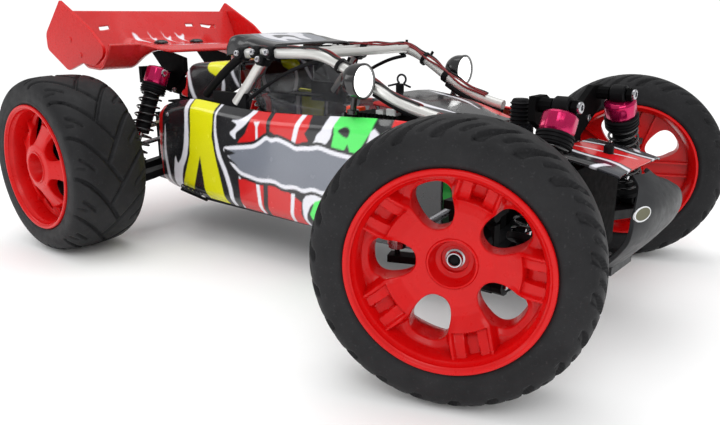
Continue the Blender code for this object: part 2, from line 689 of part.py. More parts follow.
# ---------------------------------------------------------------- steering linkage
def steering_linkage():
    """The servo's horn, the link that it swings and the two tie rods."""
    turn = pivot("horn_axis", (HORN_X, HORN_Y, HORN_Z), STEER_AT_REST)
    end_x = HORN_X - STEER_ARM
    horn = fuse(
        rod((HORN_X, HORN_Y, HORN_Z), (HORN_X, HORN_Y, HORN_Z + 3), 5.2, 12),
        box((end_x - 3, HORN_Y - 3, HORN_Z), (HORN_X, HORN_Y + 3, HORN_Z + 2)),
        rod((end_x, HORN_Y, HORN_Z + 1), (end_x, HORN_Y, LINK_Z + 2), 1.5),
    )
    name_part(horn, "servo_horn", BLACK, (HORN_X, HORN_Y, HORN_Z), turn)

    straight = Vector((end_x, HORN_Y, 0))
    shift = steered(straight, (HORN_X, HORN_Y, 0)) - straight
    joint_x = FRONT_AXLE_X - STEER_ARM
    joint_y = KINGPIN_Y - ARM_SPAN
    rod_z = TYRE_R + ARM_DROP
    bar = slab(
        [(joint_x + 4, -joint_y - 4), (joint_x + 4, 4 - joint_y), (end_x + 9, HORN_Y - 10),
         (end_x + 9, HORN_Y + 6), (joint_x + 4, joint_y - 4), (joint_x + 4, joint_y + 4),
         (joint_x - 5, joint_y + 4),
         (end_x - 4, HORN_Y + 5), (end_x - 4, HORN_Y - 8), (joint_x - 5, -joint_y - 4)],
        2.0, Matrix.Translation(Vector((0, 0, LINK_Z + 1)) * MM),
    )
    bar = cut(bar, rod((end_x, HORN_Y, LINK_Z - 3), (end_x, HORN_Y, LINK_Z + 5), 1.9))
    for side in (-1, 1):
        pin_y = side * joint_y
        pin = rod((joint_x, pin_y, rod_z - 2.5), (joint_x, pin_y, LINK_Z + 1), TIE_PIN_R)
        bar = fuse(bar, pin)
    bar.data.transform(Matrix.Translation(shift * MM))
    name_part(bar, "steering_link", BLACK, Vector((end_x, HORN_Y, LINK_Z)) + shift)

    for side, prefix in ((1, "front_left"), (-1, "front_right")):
        inner = Vector((joint_x, side * joint_y, rod_z)) + shift
        outer = Vector((joint_x, side * KINGPIN_Y, TYRE_R)) + shift
        up = Vector((0, 0, TIE_EYE_HALF))
        reach = (outer - inner).normalized() * 3.0
        tie = fuse(
            rod(inner + reach, outer - reach, TIE_ROD_R),
            rod(inner - up, inner + up, TIE_EYE_R),
            rod(outer - up, outer + up, TIE_EYE_R),
        )
        for end in (inner, outer):
            tie = cut(tie, rod(end - up * 2, end + up * 2, TIE_BORE_R))
        name_part(tie, f"{prefix}_tie_rod", STEEL, inner)


# ---------------------------------------------------------------- body
def rail_points(side):
    """The upper rail of the cage, from behind the roof, over the cockpit and down to the front deck."""
    line = [
        (-192, 42, 124), (-185, 42, 126), (-150, 42, 126.5), (-130, 41.5, 127), (-118, 40.5, 124),
        (-105, 38.5, 117.5), (-92, 36.3, 110.5), (-76, 34.5, 103), (-60, 33.5, 98.5), (-54, 33.5, 97.5),
    ]
    return [(FRONT_AXLE_X + x, side * y, z) for x, y, z in line]


def roll_cage():
    """Two bent rails joined by cross tubes, on a raked pillar and a stay on each side."""
    f = FRONT_AXLE_X
    sides = []
    for side in (-1, 1):
        pillar = [(f - 166, side * 42, 125), (f - 180, side * 44, 111), (f - 193, side * 45, 97)]
        stay = [(f - 189, side * 42, 124.5), (f - 210, side * 42, 112), (f - 226, side * 42, 99)]
        sides.append(fuse(
            tube(rail_points(side), RAIL_R, 2),
            tube(pillar, RAIL_R, 2),
            tube(stay, RAIL_R, 2),
        ))
    right, left = sides
    crosses = [
        rod((f + x, -y, z), (f + x, y, z), 2.4, 12)
        for x, y, z in ((-187, 42, 126), (-168, 42, 126), (-126, 41, 127))
    ]
    name_part(fuse(left, *crosses, right), "roll_cage", SILVER)


def side_panel(side):
    """One printed side of the shell: its foot tucks under, it bulges at the middle and folds in at the top."""
    stations = [
        (-270.6, 37, 88, -2.0), (-262, 36, 91, -1.0), (-236, 35, 96.5, 0.0), (-203, 34, 94, 0.0),
        (-166, 32, 92.5, 0.0), (-125, 30, 94, 0.0), (-107, 30, 95, 0.0), (-84, 30, 96, -1.0),
        (-62, 31, 96, -2.5), (-40, 33, 94, -5.0),
    ]
    rows = []
    for ahead, low, high, tuck in stations:
        x = FRONT_AXLE_X + ahead
        y = SIDE_Y + tuck
        section = [
            (y - 5, low), (y - 1, low + 5), (y, (low + high) / 2), (y - 1, high - 5), (y - 6, high),
        ]
        rows.append([(x, side * v, z) for v, z in section])
    panel = sheet(rows, SHEET, inwards=True)
    name_part(panel, "side_panel_left" if side > 0 else "side_panel_right", SHELL)


def crowned(stations, half_of, drop):
    """Rows across the car for a panel that is flat on top and turns down at both edges."""
    rows = []
    for ahead, z in stations:
        x = FRONT_AXLE_X + ahead
        half = half_of(ahead)
        section = [(-half, z - drop), (-half * 0.9, z - drop * 0.25), (-half * 0.4, z), (half * 0.4, z),
                   (half * 0.9, z - drop * 0.25), (half, z - drop)]
        rows.append([(x, y, h) for y, h in section])
    return rows


def walled(stations, half):
    """Rows across the car for a flat panel with upright side walls, from (ahead, top, base) stations."""
    rows = []
    for ahead, z, base in stations:
        section = [
            (-half, base), (-half, z - 2), (2 - half, z), (0, z + 0.5),
            (half - 2, z), (half, z - 2), (half, base),
        ]
        rows.append([(FRONT_AXLE_X + ahead, y, h) for y, h in section])
    return rows


def roof_panel():
    """A short wedge of a roof that rises to the rear, with side walls that come down between the rails."""
    line = [
        (-213, 131, 123), (-211, 135, 123), (-204, 136.5, 124.5), (-193, 134.5, 129),
        (-180, 132.2, 129), (-170, 131, 129),
    ]
    name_part(sheet(walled(line, 35.0), SHEET), "roof_panel", SHELL)


def rear_cover():
    line = [(-265, 99, 95), (-260, 112, 94), (-253, 117, 93), (-226, 119, 93), (-203, 120, 104)]
    name_part(sheet(walled(line, 34.0), SHEET), "rear_cover", SHELL)


def front_deck():
    line = [(-98, 105), (-84, 103.5), (-70, 101), (-58, 98), (-40, 92)]
    name_part(sheet(crowned(line, lambda ahead: 30.0, 4.0), SHEET), "front_deck", SHELL)


def nose_panel():
    line = [(4, 86), (16, 84.5), (28, 82.5), (38, 80)]
    name_part(sheet(crowned(line, lambda ahead: 27.0, 1.2), SHEET), "nose_panel", SHELL)


def wing_rows():
    """Rows across the wing, from the leading edge back and up to the kicked trailing edge."""
    chord = [(-274, -3, 2), (-284, 0, -6), (-300, 0, -14), (-318, 0, -13), (-326, 2.5, -7), (-333, 12, 6),
             (-340, 21.2, 21.2)]
    rows = []
    for ahead, middle, outer in chord:
        row = []
        for k in range(-6, 7):
            y = WING_END_Y * k / 6
            share = min(1.0, max(0.0, (abs(y) - 30.0) / 20.0))
            ease = share * share * (3 - 2 * share)
            shift = -14.0 * ease if ahead > -300 else 0.0
            x = FRONT_AXLE_X + ahead + shift * (ahead + 300) / 26
            row.append((x, y, WING_Z + middle + (outer - middle) * ease))
        rows.append(row)
    return rows


def rear_wing():
    """A main plane with dropped outer sections and a kicked-up rear edge, between two end plates."""
    wing = sheet(wing_rows(), 2.0)
    upright = Matrix(((1, 0, 0, 0), (0, 0, 1, 0), (0, 1, 0, 0), (0, 0, 0, 1)))
    outline = [(-342, 157), (-368, 131), (-338, 109), (-312, 111), (-292, 122), (-291, 128), (-307, 143)]
    for side in (-1, 1):
        plate = slab(
            [(FRONT_AXLE_X + x, z) for x, z in outline],
            2.4, Matrix.Translation(Vector((0, side * WING_END_Y, 0)) * MM) @ upright,
        )
        wing = fuse(wing, plate)
    for side in (-1, 1):
        wing = fuse(
            wing, rod((FRONT_AXLE_X - 311, side * WING_ARM_Y * 0.8, WING_Z - 1),
                      (FRONT_AXLE_X - 311, side * WING_ARM_Y * 0.8, WING_Z + 2.4), 3.2, 12),
        )
    name_part(wing, "rear_wing", RED)


def spot_lamp(side):
    """A domed lamp that looks forward, on a stub beside the cage's rail."""
    y = side * LAMP_Y
    lamp = turned_forward(
        [(0, -8.5), (4.5, -7.6), (7.6, -5.0), (LAMP_R, -0.5), (LAMP_R, 3.5), (LAMP_R - 1.2, 4.5),
         (0, 4.5)],
        (LAMP_X, y, LAMP_Z),
    )
    foot = rod((LAMP_X - 2, y, LAMP_Z - LAMP_R + 1), (LAMP_X - 4, y, 97.5), 1.6, 10)
    name_part(fuse(lamp, foot), "spot_lamp_left" if side > 0 else "spot_lamp_right", LAMP)


def turned_forward(profile, centre):
    """A solid of revolution about the X axis, from (radius, distance ahead) points."""
    obj = turned(list(reversed(profile)), (0, 0, 0), 1, 20, False)
    turn = Matrix.Rotation(-math.pi / 2, 4, "Z")
    obj.data.transform(Matrix.Translation(Vector(centre) * MM) @ turn)
    return obj


# ---------------------------------------------------------------- assembly
def front_corner(prefix, side):
    x = FRONT_AXLE_X
    lower_arm(prefix, side, x, FRONT_SHOCK)
    upper_wishbone(prefix, side, x)
    caster_block(prefix, side, x)
    steer = pivot(f"{prefix}_kingpin", (x, side * KINGPIN_Y, TYRE_R), STEER_AT_REST)
    knuckle(prefix, side, x, steer)
    half = FRONT_TYRE_W / 2
    wheel(prefix, side, x, half, FRONT_HALF_TRACK - half, KINGPIN_Y, FRONT_DISH, FRONT_BACK, steer)
    shock_absorber(prefix, side, x, FRONT_SHOCK)


def rear_corner(prefix, side):
    x = REAR_AXLE_X
    lower_arm(prefix, side, x, REAR_SHOCK)
    turnbuckle(prefix, side, x)
    hub_carrier(prefix, side, x)
    half = REAR_TYRE_W / 2
    wheel(prefix, side, x, half, REAR_HALF_TRACK - half, REAR_JOINT_Y, REAR_DISH, REAR_BACK)
    drive_shaft(prefix, side, x, REAR_JOINT_Y)
    shock_absorber(prefix, side, x, REAR_SHOCK)


chassis_plate()
front_bumper()
front_bulkhead()
rear_gear_case()
inner_units()
control_box()
steering_linkage()
roll_cage()
roof_panel()
rear_cover()
front_deck()
nose_panel()
rear_wing()
for hand in (1, -1):
    front_corner("front_left" if hand > 0 else "front_right", hand)
    rear_corner("rear_left" if hand > 0 else "rear_right", hand)
    side_panel(hand)
    spot_lamp(hand)
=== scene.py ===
"""The looks of the desert buggy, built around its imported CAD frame.

Lengths are millimetres: +X ahead of the front axle, +Y to the car's left, +Z up from the ground. piece()
turns them into metres from the frame's own origin. side is 1 on the left and -1 on the right.
"""

import math

import bmesh
import bpy
import numpy as np
from mathutils import Matrix, Vector


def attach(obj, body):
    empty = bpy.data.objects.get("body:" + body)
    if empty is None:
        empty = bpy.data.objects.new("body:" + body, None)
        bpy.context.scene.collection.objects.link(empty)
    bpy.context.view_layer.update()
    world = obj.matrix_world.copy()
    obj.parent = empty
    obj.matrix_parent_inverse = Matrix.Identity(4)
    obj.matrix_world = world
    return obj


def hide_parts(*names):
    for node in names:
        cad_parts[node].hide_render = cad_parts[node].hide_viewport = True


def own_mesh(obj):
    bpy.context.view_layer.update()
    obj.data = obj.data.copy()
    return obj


MM = 0.001
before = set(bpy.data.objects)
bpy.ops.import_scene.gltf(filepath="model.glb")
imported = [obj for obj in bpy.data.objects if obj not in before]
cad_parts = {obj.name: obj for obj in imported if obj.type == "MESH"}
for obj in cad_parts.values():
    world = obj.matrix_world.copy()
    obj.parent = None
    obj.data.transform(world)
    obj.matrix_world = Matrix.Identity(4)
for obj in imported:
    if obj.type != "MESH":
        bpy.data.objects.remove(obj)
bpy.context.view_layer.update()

# Driving dimensions, the same as the CAD part's
FRONT_AXLE = np.array([152.7, 0.0, 0.0])
WHEELBASE = 291.0
TYRE_R, RIM_R = 56.0, 39.5
SPOKES = 5
STEER = math.radians(22.0)
KINGPIN_Y = 93.5
SIDES = (1, -1)
AXLE_X = {"front": 0.0, "rear": -WHEELBASE}
HALF_TRACK = {"front": 128.5, "rear": 131.0}
HALF_WIDTH = {"front": 18.0, "rear": 24.5}
HUB_Y = {"front": KINGPIN_Y, "rear": 90.0}
FRONT_WHEELS = {"front_left_wheel": 1, "front_right_wheel": -1}


def hand(side):
    return "left" if side > 0 else "right"


# ---------------------------------------------------------------- materials
def linear(rgb):
    """An 0 to 255 display colour as the linear colour that the shader takes."""
    share = np.asarray(rgb, float) / 255.0
    return np.where(share <= 0.04045, share / 12.92, ((share + 0.055) / 1.055) ** 2.4)


class Nodes:
    """A material's node tree with one call per node. Noises go by scale, detail and roughness."""

    def __init__(self, name):
        self.made = bpy.data.materials.new(name)
        self.made.use_nodes = True
        self.tree = self.made.node_tree
        self.shader = self.tree.nodes["Principled BSDF"]
        self.place = self.add("ShaderNodeTexCoord").outputs["Object"]

    def add(self, kind, **values):
        node = self.tree.nodes.new(kind)
        for key, value in values.items():
            setattr(node, key, value)
        return node

    def fill(self, socket, value):
        if isinstance(value, bpy.types.NodeSocket):
            self.tree.links.new(value, socket)
        else:
            socket.default_value = value

    def feed(self, node, **values):
        """Fills a node's inputs by name, with _ for a space."""
        for key, value in values.items():
            self.fill(node.inputs[key.replace("_", " ")], value)

    def noise(self, scale, detail=3.0, rough=0.5):
        node = self.add("ShaderNodeTexNoise")
        self.feed(node, Scale=scale, Detail=detail, Roughness=rough, Vector=self.place)
        return node.outputs["Fac"]

    def spread(self, source, low, high, start=0.3, end=0.7):
        """The source's start to end as low to high. A tuple stands for a noise."""
        source = self.noise(*source) if isinstance(source, tuple) else source
        node = self.add("ShaderNodeMapRange")
        self.feed(node, From_Min=start, From_Max=end, To_Min=low, To_Max=high, Value=source)
        return node.outputs["Result"]

    def mix(self, share, one, two):
        node = self.add("ShaderNodeMix", data_type="RGBA")
        self.fill(node.inputs[0], share)
        for key, value in ((6, one), (7, two)):
            self.fill(node.inputs[key], value if isinstance(value, bpy.types.NodeSocket) else (*value, 1.0))
        return node.outputs[2]

    def bump(self, source, strength, distance, under=None):
        """Relief of a height in millimetres, over another one if it is given."""
        node = self.add("ShaderNodeBump")
        self.feed(node, Strength=strength, Distance=distance * MM, Height=self.noise(*source))
        if under:
            self.fill(node.inputs["Normal"], under)
        return node.outputs["Normal"]

    def set(self, **values):
        self.feed(self.shader, **values)
        return self.made


def moulded(
    name, rgb, rough, metal=0.0, coat=0.0, shade=0.12, grain=1500.0, depth=0.06, vary=0.08, shine=0.5,
):
    """A moulded or machined finish: its colour drifts, and its roughness and its grain are uneven."""
    n = Nodes(name)
    base = linear(rgb)
    drift = n.spread((55.0, 4.0, 0.6), 0.0, 1.0)
    return n.set(
        Base_Color=n.mix(drift, base * (1 - shade), np.minimum(base * (1 + shade), 1.0)), Metallic=metal,
        Coat_Weight=coat, Coat_Roughness=0.08, Specular_IOR_Level=shine,
        Roughness=n.spread((240.0, 4.0, 0.65), max(rough - vary, 0.03), rough + vary),
        Normal=n.bump((grain, 2.0), 0.35, depth),
    )


def rubber(name):
    """Dark rubber with a fine cast grain, a little dust in its tone and a dull sheen."""
    n = Nodes(name)
    dust = n.spread((38.0, 5.0, 0.7), 0.0, 1.0, 0.35, 0.75)
    colour = n.mix(dust, linear((24, 24, 26)), linear((36, 36, 38)))
    speck = n.spread((900.0, 2.0), 0.0, 0.5, 0.62, 0.75)
    return n.set(
        Base_Color=n.mix(speck, colour, linear((56, 56, 58))), Specular_IOR_Level=0.25,
        Roughness=n.spread((160.0, 4.0, 0.6), 0.5, 0.66),
        Normal=n.bump((90.0,), 0.25, 0.4, n.bump((2200.0, 3.0, 0.6), 0.5, 0.12)),
    )


def printed(name, rough):
    """Glossy printed polycarbonate. The print is the piece's colour attribute."""
    n = Nodes(name)
    ink = n.add("ShaderNodeAttribute", attribute_name="print").outputs["Color"]
    colour = n.mix(n.spread((30.0,), 0.0, 0.02), ink, (0.75, 0.76, 0.78))
    colour = n.mix(n.spread((1300.0, 2.0), 0.0, 0.05), colour, (0.0, 0.0, 0.0))
    return n.set(
        Base_Color=colour, Roughness=n.spread((120.0, 4.0), rough - 0.06, rough + 0.08), Coat_Weight=0.35,
        Coat_Roughness=0.06, Normal=n.bump((20.0, 2.0), 0.3, 0.5),
    )


def brushed(name, rgb, rough):
    """Metal with fine drawn scratches along the car."""
    n = Nodes(name)
    stretch = n.add("ShaderNodeMapping")
    n.feed(stretch, Scale=(6.0, 900.0, 900.0), Vector=n.place)
    n.place = stretch.outputs["Vector"]
    lines = (1.0, 3.0, 0.6)
    base = linear(rgb)
    return n.set(
        Base_Color=n.mix(n.spread(lines, 0.0, 1.0), base * 0.86, base), Metallic=1.0,
        Roughness=n.spread(lines, rough - 0.07, rough + 0.09), Normal=n.bump(lines, 0.2, 0.05),
    )


def smoked(name):
    """Clear film with a smoky tint, for the cockpit's liner."""
    n = Nodes(name)
    n.made.surface_render_method = "BLENDED"
    haze = n.spread((35.0, 4.0, 0.6), 0.0, 1.0)
    return n.set(
        Base_Color=n.mix(haze, linear((92, 94, 98)), linear((150, 152, 156))), Alpha=0.15, Coat_Weight=0.5,
        Roughness=n.spread((90.0,), 0.08, 0.2), Normal=n.bump((14.0, 2.0), 0.4, 1.2),
    )


def glowing(name):
    """The lamp's lit lens, with a faint grain."""
    n = Nodes(name)
    glow = n.mix(n.spread((700.0, 2.0), 0.0, 0.3), (1.0, 1.0, 0.98), (0.8, 0.85, 0.9))
    return n.set(
        Base_Color=glow, Emission_Color=glow, Emission_Strength=3.2, Roughness=0.1, Coat_Weight=0.8,
        Normal=n.bump((700.0, 2.0), 0.3, 0.2),
    )


M = {
    "tyre": rubber("tyre_rubber"),
    "rim": moulded(
        "rim_red", (200, 7, 9), 0.3, coat=0.06, shade=0.06, grain=420.0, depth=0.04, vary=0.05, shine=0.25,
    ),
    "wing": moulded(
        "wing_red", (200, 8, 9), 0.28, coat=0.06, shade=0.05, grain=900.0, depth=0.02, vary=0.05, shine=0.3,
    ),
    "black": moulded("moulded_black", (18, 18, 20), 0.46, shade=0.25, grain=1900.0, depth=0.04, shine=0.1),
    "pitch": moulded("case_black", (11, 11, 12), 0.6, shade=0.2, grain=1200.0, depth=0.03, shine=0.04),
    "satin": moulded("satin_black", (44, 45, 47), 0.42, shade=0.15, grain=1600.0, depth=0.08, shine=0.22),
    "gloss": moulded("gloss_black", (20, 20, 22), 0.16, coat=0.5, shade=0.2, grain=600.0),
    "steel": moulded("steel_pins", (190, 190, 194), 0.26, metal=1.0, shade=0.08),
    "dark": moulded("oxide_screws", (58, 58, 62), 0.3, metal=0.9, shade=0.15),
    "brass": moulded("turnbuckle_metal", (186, 176, 150), 0.28, metal=1.0, shade=0.08),
    "tube": moulded(
        "tube_silver", (216, 216, 213), 0.34, metal=0.5, shade=0.02, grain=900.0, depth=0.01, vary=0.04,
    ),
    "plate": brushed("plate_grey", (74, 76, 80), 0.36),
    "can": brushed("motor_can_metal", (170, 172, 176), 0.28),
    "pink": moulded("anodised_pink", (196, 14, 86), 0.22, metal=0.75, coat=0.3, shade=0.1),
    "wrap": moulded("cell_wrap", (28, 62, 150), 0.3, coat=0.4),
    "orange": moulded("switch_orange", (236, 66, 18), 0.35, coat=0.2),
    "wire_red": moulded("wire_red", (120, 14, 20), 0.4, shade=0.15),
    "wire_black": moulded("wire_black", (18, 18, 20), 0.42, shade=0.2),
    "print": printed("shell_print", 0.2),
    "wing_print": printed("wing_print", 0.26),
    "smoke": smoked("liner_film"),
    "glow": glowing("lamp_glow"),
    "chrome": moulded("reflector_chrome", (225, 225, 228), 0.08, metal=1.0, shade=0.03),
    "white": moulded("label_white", (225, 226, 228), 0.35, coat=0.3, shade=0.04),
    "olive": moulded("label_olive", (104, 103, 84), 0.5, shade=0.2, shine=0.2),
}


# ---------------------------------------------------------------- shapes
def smooth(x):
    x = np.clip(x, 0.0, 1.0)
    return x * x * (3 - 2 * x)


def fillet(points, radius, steps=5):
    """The same path with each inner corner rounded."""
    points = [np.asarray(p, float) for p in points]
    out = [points[0]]
    for before, here, after in zip(points, points[1:], points[2:]):
        cuts = []
        for other in (before, after):
            length = np.linalg.norm(other - here)
            cuts.append(here + (other - here) * min(radius / max(length, 1e-9), 0.5))
        for t in np.linspace(0.0, 1.0, steps):
            out.append((1 - t) ** 2 * cuts[0] + 2 * t * (1 - t) * here + t * t * cuts[1])
    return np.array([*out, points[-1]])


def even(points, count):
    """That many points, evenly spaced along a path."""
    points = np.asarray(points, float)
    run = np.concatenate([[0.0], np.cumsum(np.linalg.norm(np.diff(points, axis=0), axis=1))])
    at = np.linspace(0.0, run[-1], count)
    return np.stack([np.interp(at, run, points[:, k]) for k in range(points.shape[1])], axis=1)


def quads(rows, cols, wrap_rows=False, wrap_cols=False, keep=None):
    """The faces of a grid of points stored row by row. keep, if given, says which cells stay."""
    faces = []
    for i in range(rows if wrap_rows else rows - 1):
        below = ((i + 1) % rows) * cols
        for j in range(cols if wrap_cols else cols - 1):
            if keep is None or keep[i, j]:
                k = (j + 1) % cols
                faces.append((i * cols + j, i * cols + k, below + k, below + j))
    return faces


def frame_of(origin, x, y, z):
    """The matrix that lays the local axes along three directions."""
    return Matrix.Translation(Vector(origin)) @ Matrix((x, y, z)).transposed().to_4x4()


def axis_frame(origin, direction):
    """The matrix that lays local Z along a direction."""
    z = Vector(direction).normalized()
    x = Vector((0, 0, 1)).cross(z)
    x = Vector((1, 0, 0)) if x.length < 1e-6 else x.normalized()
    return frame_of(origin, x, z.cross(x), z)


class Shape:
    """Several solids that become one piece."""

    def __init__(self):
        self.points, self.faces, self.count = [], [], 0

    def add(self, points, faces, matrix=None):
        points = np.asarray(points, float).reshape(-1, 3)
        if matrix is not None:
            m = np.array(matrix)
            points = points @ m[:3, :3].T + m[:3, 3]
        self.points.append(points)
        self.faces += [tuple(i + self.count for i in face) for face in faces]
        self.count += len(points)
        return self

    def lathe(self, profile, matrix, steps=48, sides=0):
        """A solid of revolution about local Z from (radius, height) points. sides makes it a polygon."""
        turn = np.arange(steps) * 2 * math.pi / steps
        flat = np.ones(steps)
        if sides:
            part = 2 * math.pi / sides
            flat = math.cos(part / 2) / np.cos((turn + part / 2) % part - part / 2)
        rows = [(r, h) for r, h in profile if r > 0]
        points = [(r * f * math.cos(a), r * f * math.sin(a), h) for r, h in rows for a, f in zip(turn, flat)]
        faces = quads(len(rows), steps, wrap_cols=True)
        for row, at in ((0, profile[0]), (len(rows) - 1, profile[-1])):
            if at[0] == 0:
                points.append((0.0, 0.0, at[1]))
                ring = [row * steps + k for k in range(steps)]
                faces += [(ring[k], ring[(k + 1) % steps], len(points) - 1) for k in range(steps)]
        return self.add(points, faces, matrix)

    def block(self, lo, hi, matrix=None):
        corners = [(x, y, z) for z in (lo[2], hi[2]) for y in (lo[1], hi[1]) for x in (lo[0], hi[0])]
        faces = [(0, 2, 3, 1), (4, 5, 7, 6), (0, 1, 5, 4), (2, 6, 7, 3), (0, 4, 6, 2), (1, 3, 7, 5)]
        return self.add(corners, faces, matrix)

    def slab(self, outline, low, high, matrix):
        n = len(outline)
        points = [(u, v, h) for h in (low, high) for u, v in outline]
        faces = [tuple(reversed(range(n))), tuple(range(n, 2 * n))]
        faces += [(k, (k + 1) % n, n + (k + 1) % n, n + k) for k in range(n)]
        return self.add(points, faces, matrix)

    def pipe(self, path, radius, sides=16, closed=False):
        """A round tube along a path, with flat ends."""
        path = np.asarray(path, float)
        n = len(path)
        ahead = np.roll(path, -1, 0) - path
        tangent = ahead + np.roll(ahead, 1, 0)
        if not closed:
            tangent[0], tangent[-1] = path[1] - path[0], path[-1] - path[-2]
        tangent /= np.linalg.norm(tangent, axis=1)[:, None]
        normal = np.cross(tangent[0], (0.31, 0.2, 0.93))
        points = []
        turn = (np.arange(sides) * 2 * math.pi / sides)[:, None]
        for k in range(n):
            normal = normal - tangent[k] * (normal @ tangent[k])
            normal /= np.linalg.norm(normal)
            other = np.cross(tangent[k], normal)
            points.append(path[k] + radius * (np.cos(turn) * normal + np.sin(turn) * other))
        faces = quads(n, sides, wrap_rows=closed, wrap_cols=True)
        if not closed:
            faces += [tuple(range(sides)), tuple(range((n - 1) * sides, n * sides))]
        return self.add(np.concatenate(points), faces)

    def bent(self, corners, bend, count, radius, sides):
        """A pipe along a path with rounded corners."""
        return self.pipe(even(fillet(corners, bend), count), radius, sides)

    def screw(self, place, direction, r, h):
        """A cap screw of radius r and height h with a rounded head and a hexagon socket."""
        matrix = axis_frame(place, direction)
        self.lathe([(r, -0.3), (r, h * 0.72), (r * 0.9, h * 0.94), (r * 0.78, h), (r * 0.56, h)], matrix, 24)
        socket = [(r * 0.64, h), (r * 0.56, h * 0.96), (r * 0.54, h * 0.3), (0, h * 0.3)]
        return self.lathe(socket, matrix, 24, 6)


def rounded(obj, width):
    edge = obj.modifiers.new("edges", "BEVEL")
    edge.width = width * MM
    edge.segments = 2
    edge.limit_method = "ANGLE"
    edge.angle_limit = math.radians(32)
    edge.harden_normals = True


def thickened(obj, wall, offset):
    thick = obj.modifiers.new("wall", "SOLIDIFY")
    thick.thickness = wall * MM
    thick.offset = offset
    return thick


def piece(
    shape, name, material, body="chassis", replaces=(), bevel=0.0, angle=35.0, colours=None,
    wall=0.0, outward=None,
):
    """The shape as an object that rides on a body. A sheet gets a wall behind its outward face."""
    points = np.concatenate(shape.points)
    if body in FRONT_WHEELS:
        pivot = np.array([0.0, FRONT_WHEELS[body] * KINGPIN_Y, 0.0])
        points = (points - pivot) @ np.array(Matrix.Rotation(STEER, 3, "Z")).T + pivot
    mesh = bpy.data.meshes.new(name)
    mesh.from_pydata((points + FRONT_AXLE) * MM, [], shape.faces)
    if colours is not None:
        layer = mesh.color_attributes.new("print", "FLOAT_COLOR", "POINT")
        rows = np.column_stack([colours, np.ones(len(colours))])
        layer.data.foreach_set("color", rows.astype(np.float32).ravel())
    bm = bmesh.new()
    bm.from_mesh(mesh)
    bmesh.ops.recalc_face_normals(bm, faces=bm.faces)
    if outward and sum((f.normal * f.calc_area() for f in bm.faces), Vector()).dot(Vector(outward)) < 0:
        bmesh.ops.reverse_faces(bm, faces=bm.faces)
    bm.to_mesh(mesh)
    bm.free()
    mesh.shade_smooth()
    mesh.set_sharp_from_angle(angle=math.radians(angle))
    obj = bpy.data.objects.new(name, mesh)
    bpy.context.scene.collection.objects.link(obj)
    mesh.materials.append(M[material])
    if wall:
        thickened(obj, wall, -1.0).use_even_offset = True
    if bevel:
        rounded(obj, bevel)
    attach(obj, body)
    if replaces:
        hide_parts(*replaces)
    return obj


# ---------------------------------------------------------------- wheels
TYRE_STEPS = 620
TREAD_POINTS = {"front": 86, "rear": 104}
TREAD_DEPTH = {"front": 1.7, "rear": 1.9}
GROOVE_EDGE = 0.25


def wheel_frame(end, side):
    """Local X ahead, local Y up and local Z outboard, at the wheel's middle, with the wheels straight."""
    middle = (AXLE_X[end], side * (HALF_TRACK[end] - HALF_WIDTH[end]), TYRE_R)
    return frame_of(middle, (1, 0, 0), (0, 0, 1), (0, side, 0))


def groove(offset, pitch, slope, width):
    """1 inside a groove and 0 outside, from the distance along the tread to the groove's own line."""
    away = np.abs((offset + pitch / 2) % pitch - pitch / 2) / np.sqrt(1 + slope**2)
    return 1 - smooth((away - width / 2 + GROOVE_EDGE) / (2 * GROOVE_EDGE))


def front_tread(run, t, r):
    """Curved claws that start near the middle and widen over the shoulder, staggered from side to side."""
    pitch = 2 * math.pi * TYRE_R / 22
    share = np.abs(t)
    line = run - 15.0 * share**1.7 - np.where(t > 0, 0.0, pitch / 2)
    slope = 15.0 * 1.7 * share**0.7 / HALF_WIDTH["front"]
    main = groove(line, pitch, slope, 1.2 + 1.4 * share)
    main *= smooth((share - 0.14) / 0.06) * smooth((r - 50.2) / 1.2)
    between = groove(line - pitch * 0.52, pitch, slope, 1.3)
    between *= smooth((share - 0.42) / 0.06) * smooth((0.88 - share) / 0.05)
    return np.maximum(main, between * 0.6)


def rear_tread(run, t, r):
    """Long grooves that sweep from each shoulder and cross over the middle, with short sipes between them."""
    pitch = 2 * math.pi * TYRE_R / 13
    depth = np.zeros_like(t)
    for side, start in ((1, 0.0), (-1, pitch / 2)):
        reach = np.clip(1 - side * t, 0.0, 1.25)
        line = -27.0 * reach**1.5
        slope = 27.0 * 1.5 * reach**0.5 / HALF_WIDTH["rear"]
        main = groove(run - line - start, pitch, slope, 1.9)
        main *= smooth((side * t + 0.2) / 0.05) * smooth((r - 49.5) / 1.5)
        sipe = groove(run - line - start - pitch * 0.5, pitch, slope, 1.7)
        sipe *= smooth((side * t - 0.5) / 0.04) * smooth((0.86 - side * t) / 0.04)
        short = groove(run - line * 0.4 - start - pitch * 0.25, pitch, slope * 0.4, 1.4)
        short *= smooth((side * t - 0.72) / 0.04) * smooth((r - 51.0) / 1.0)
        depth = np.maximum.reduce([depth, main, sipe * 0.7, short * 0.55])
    return depth


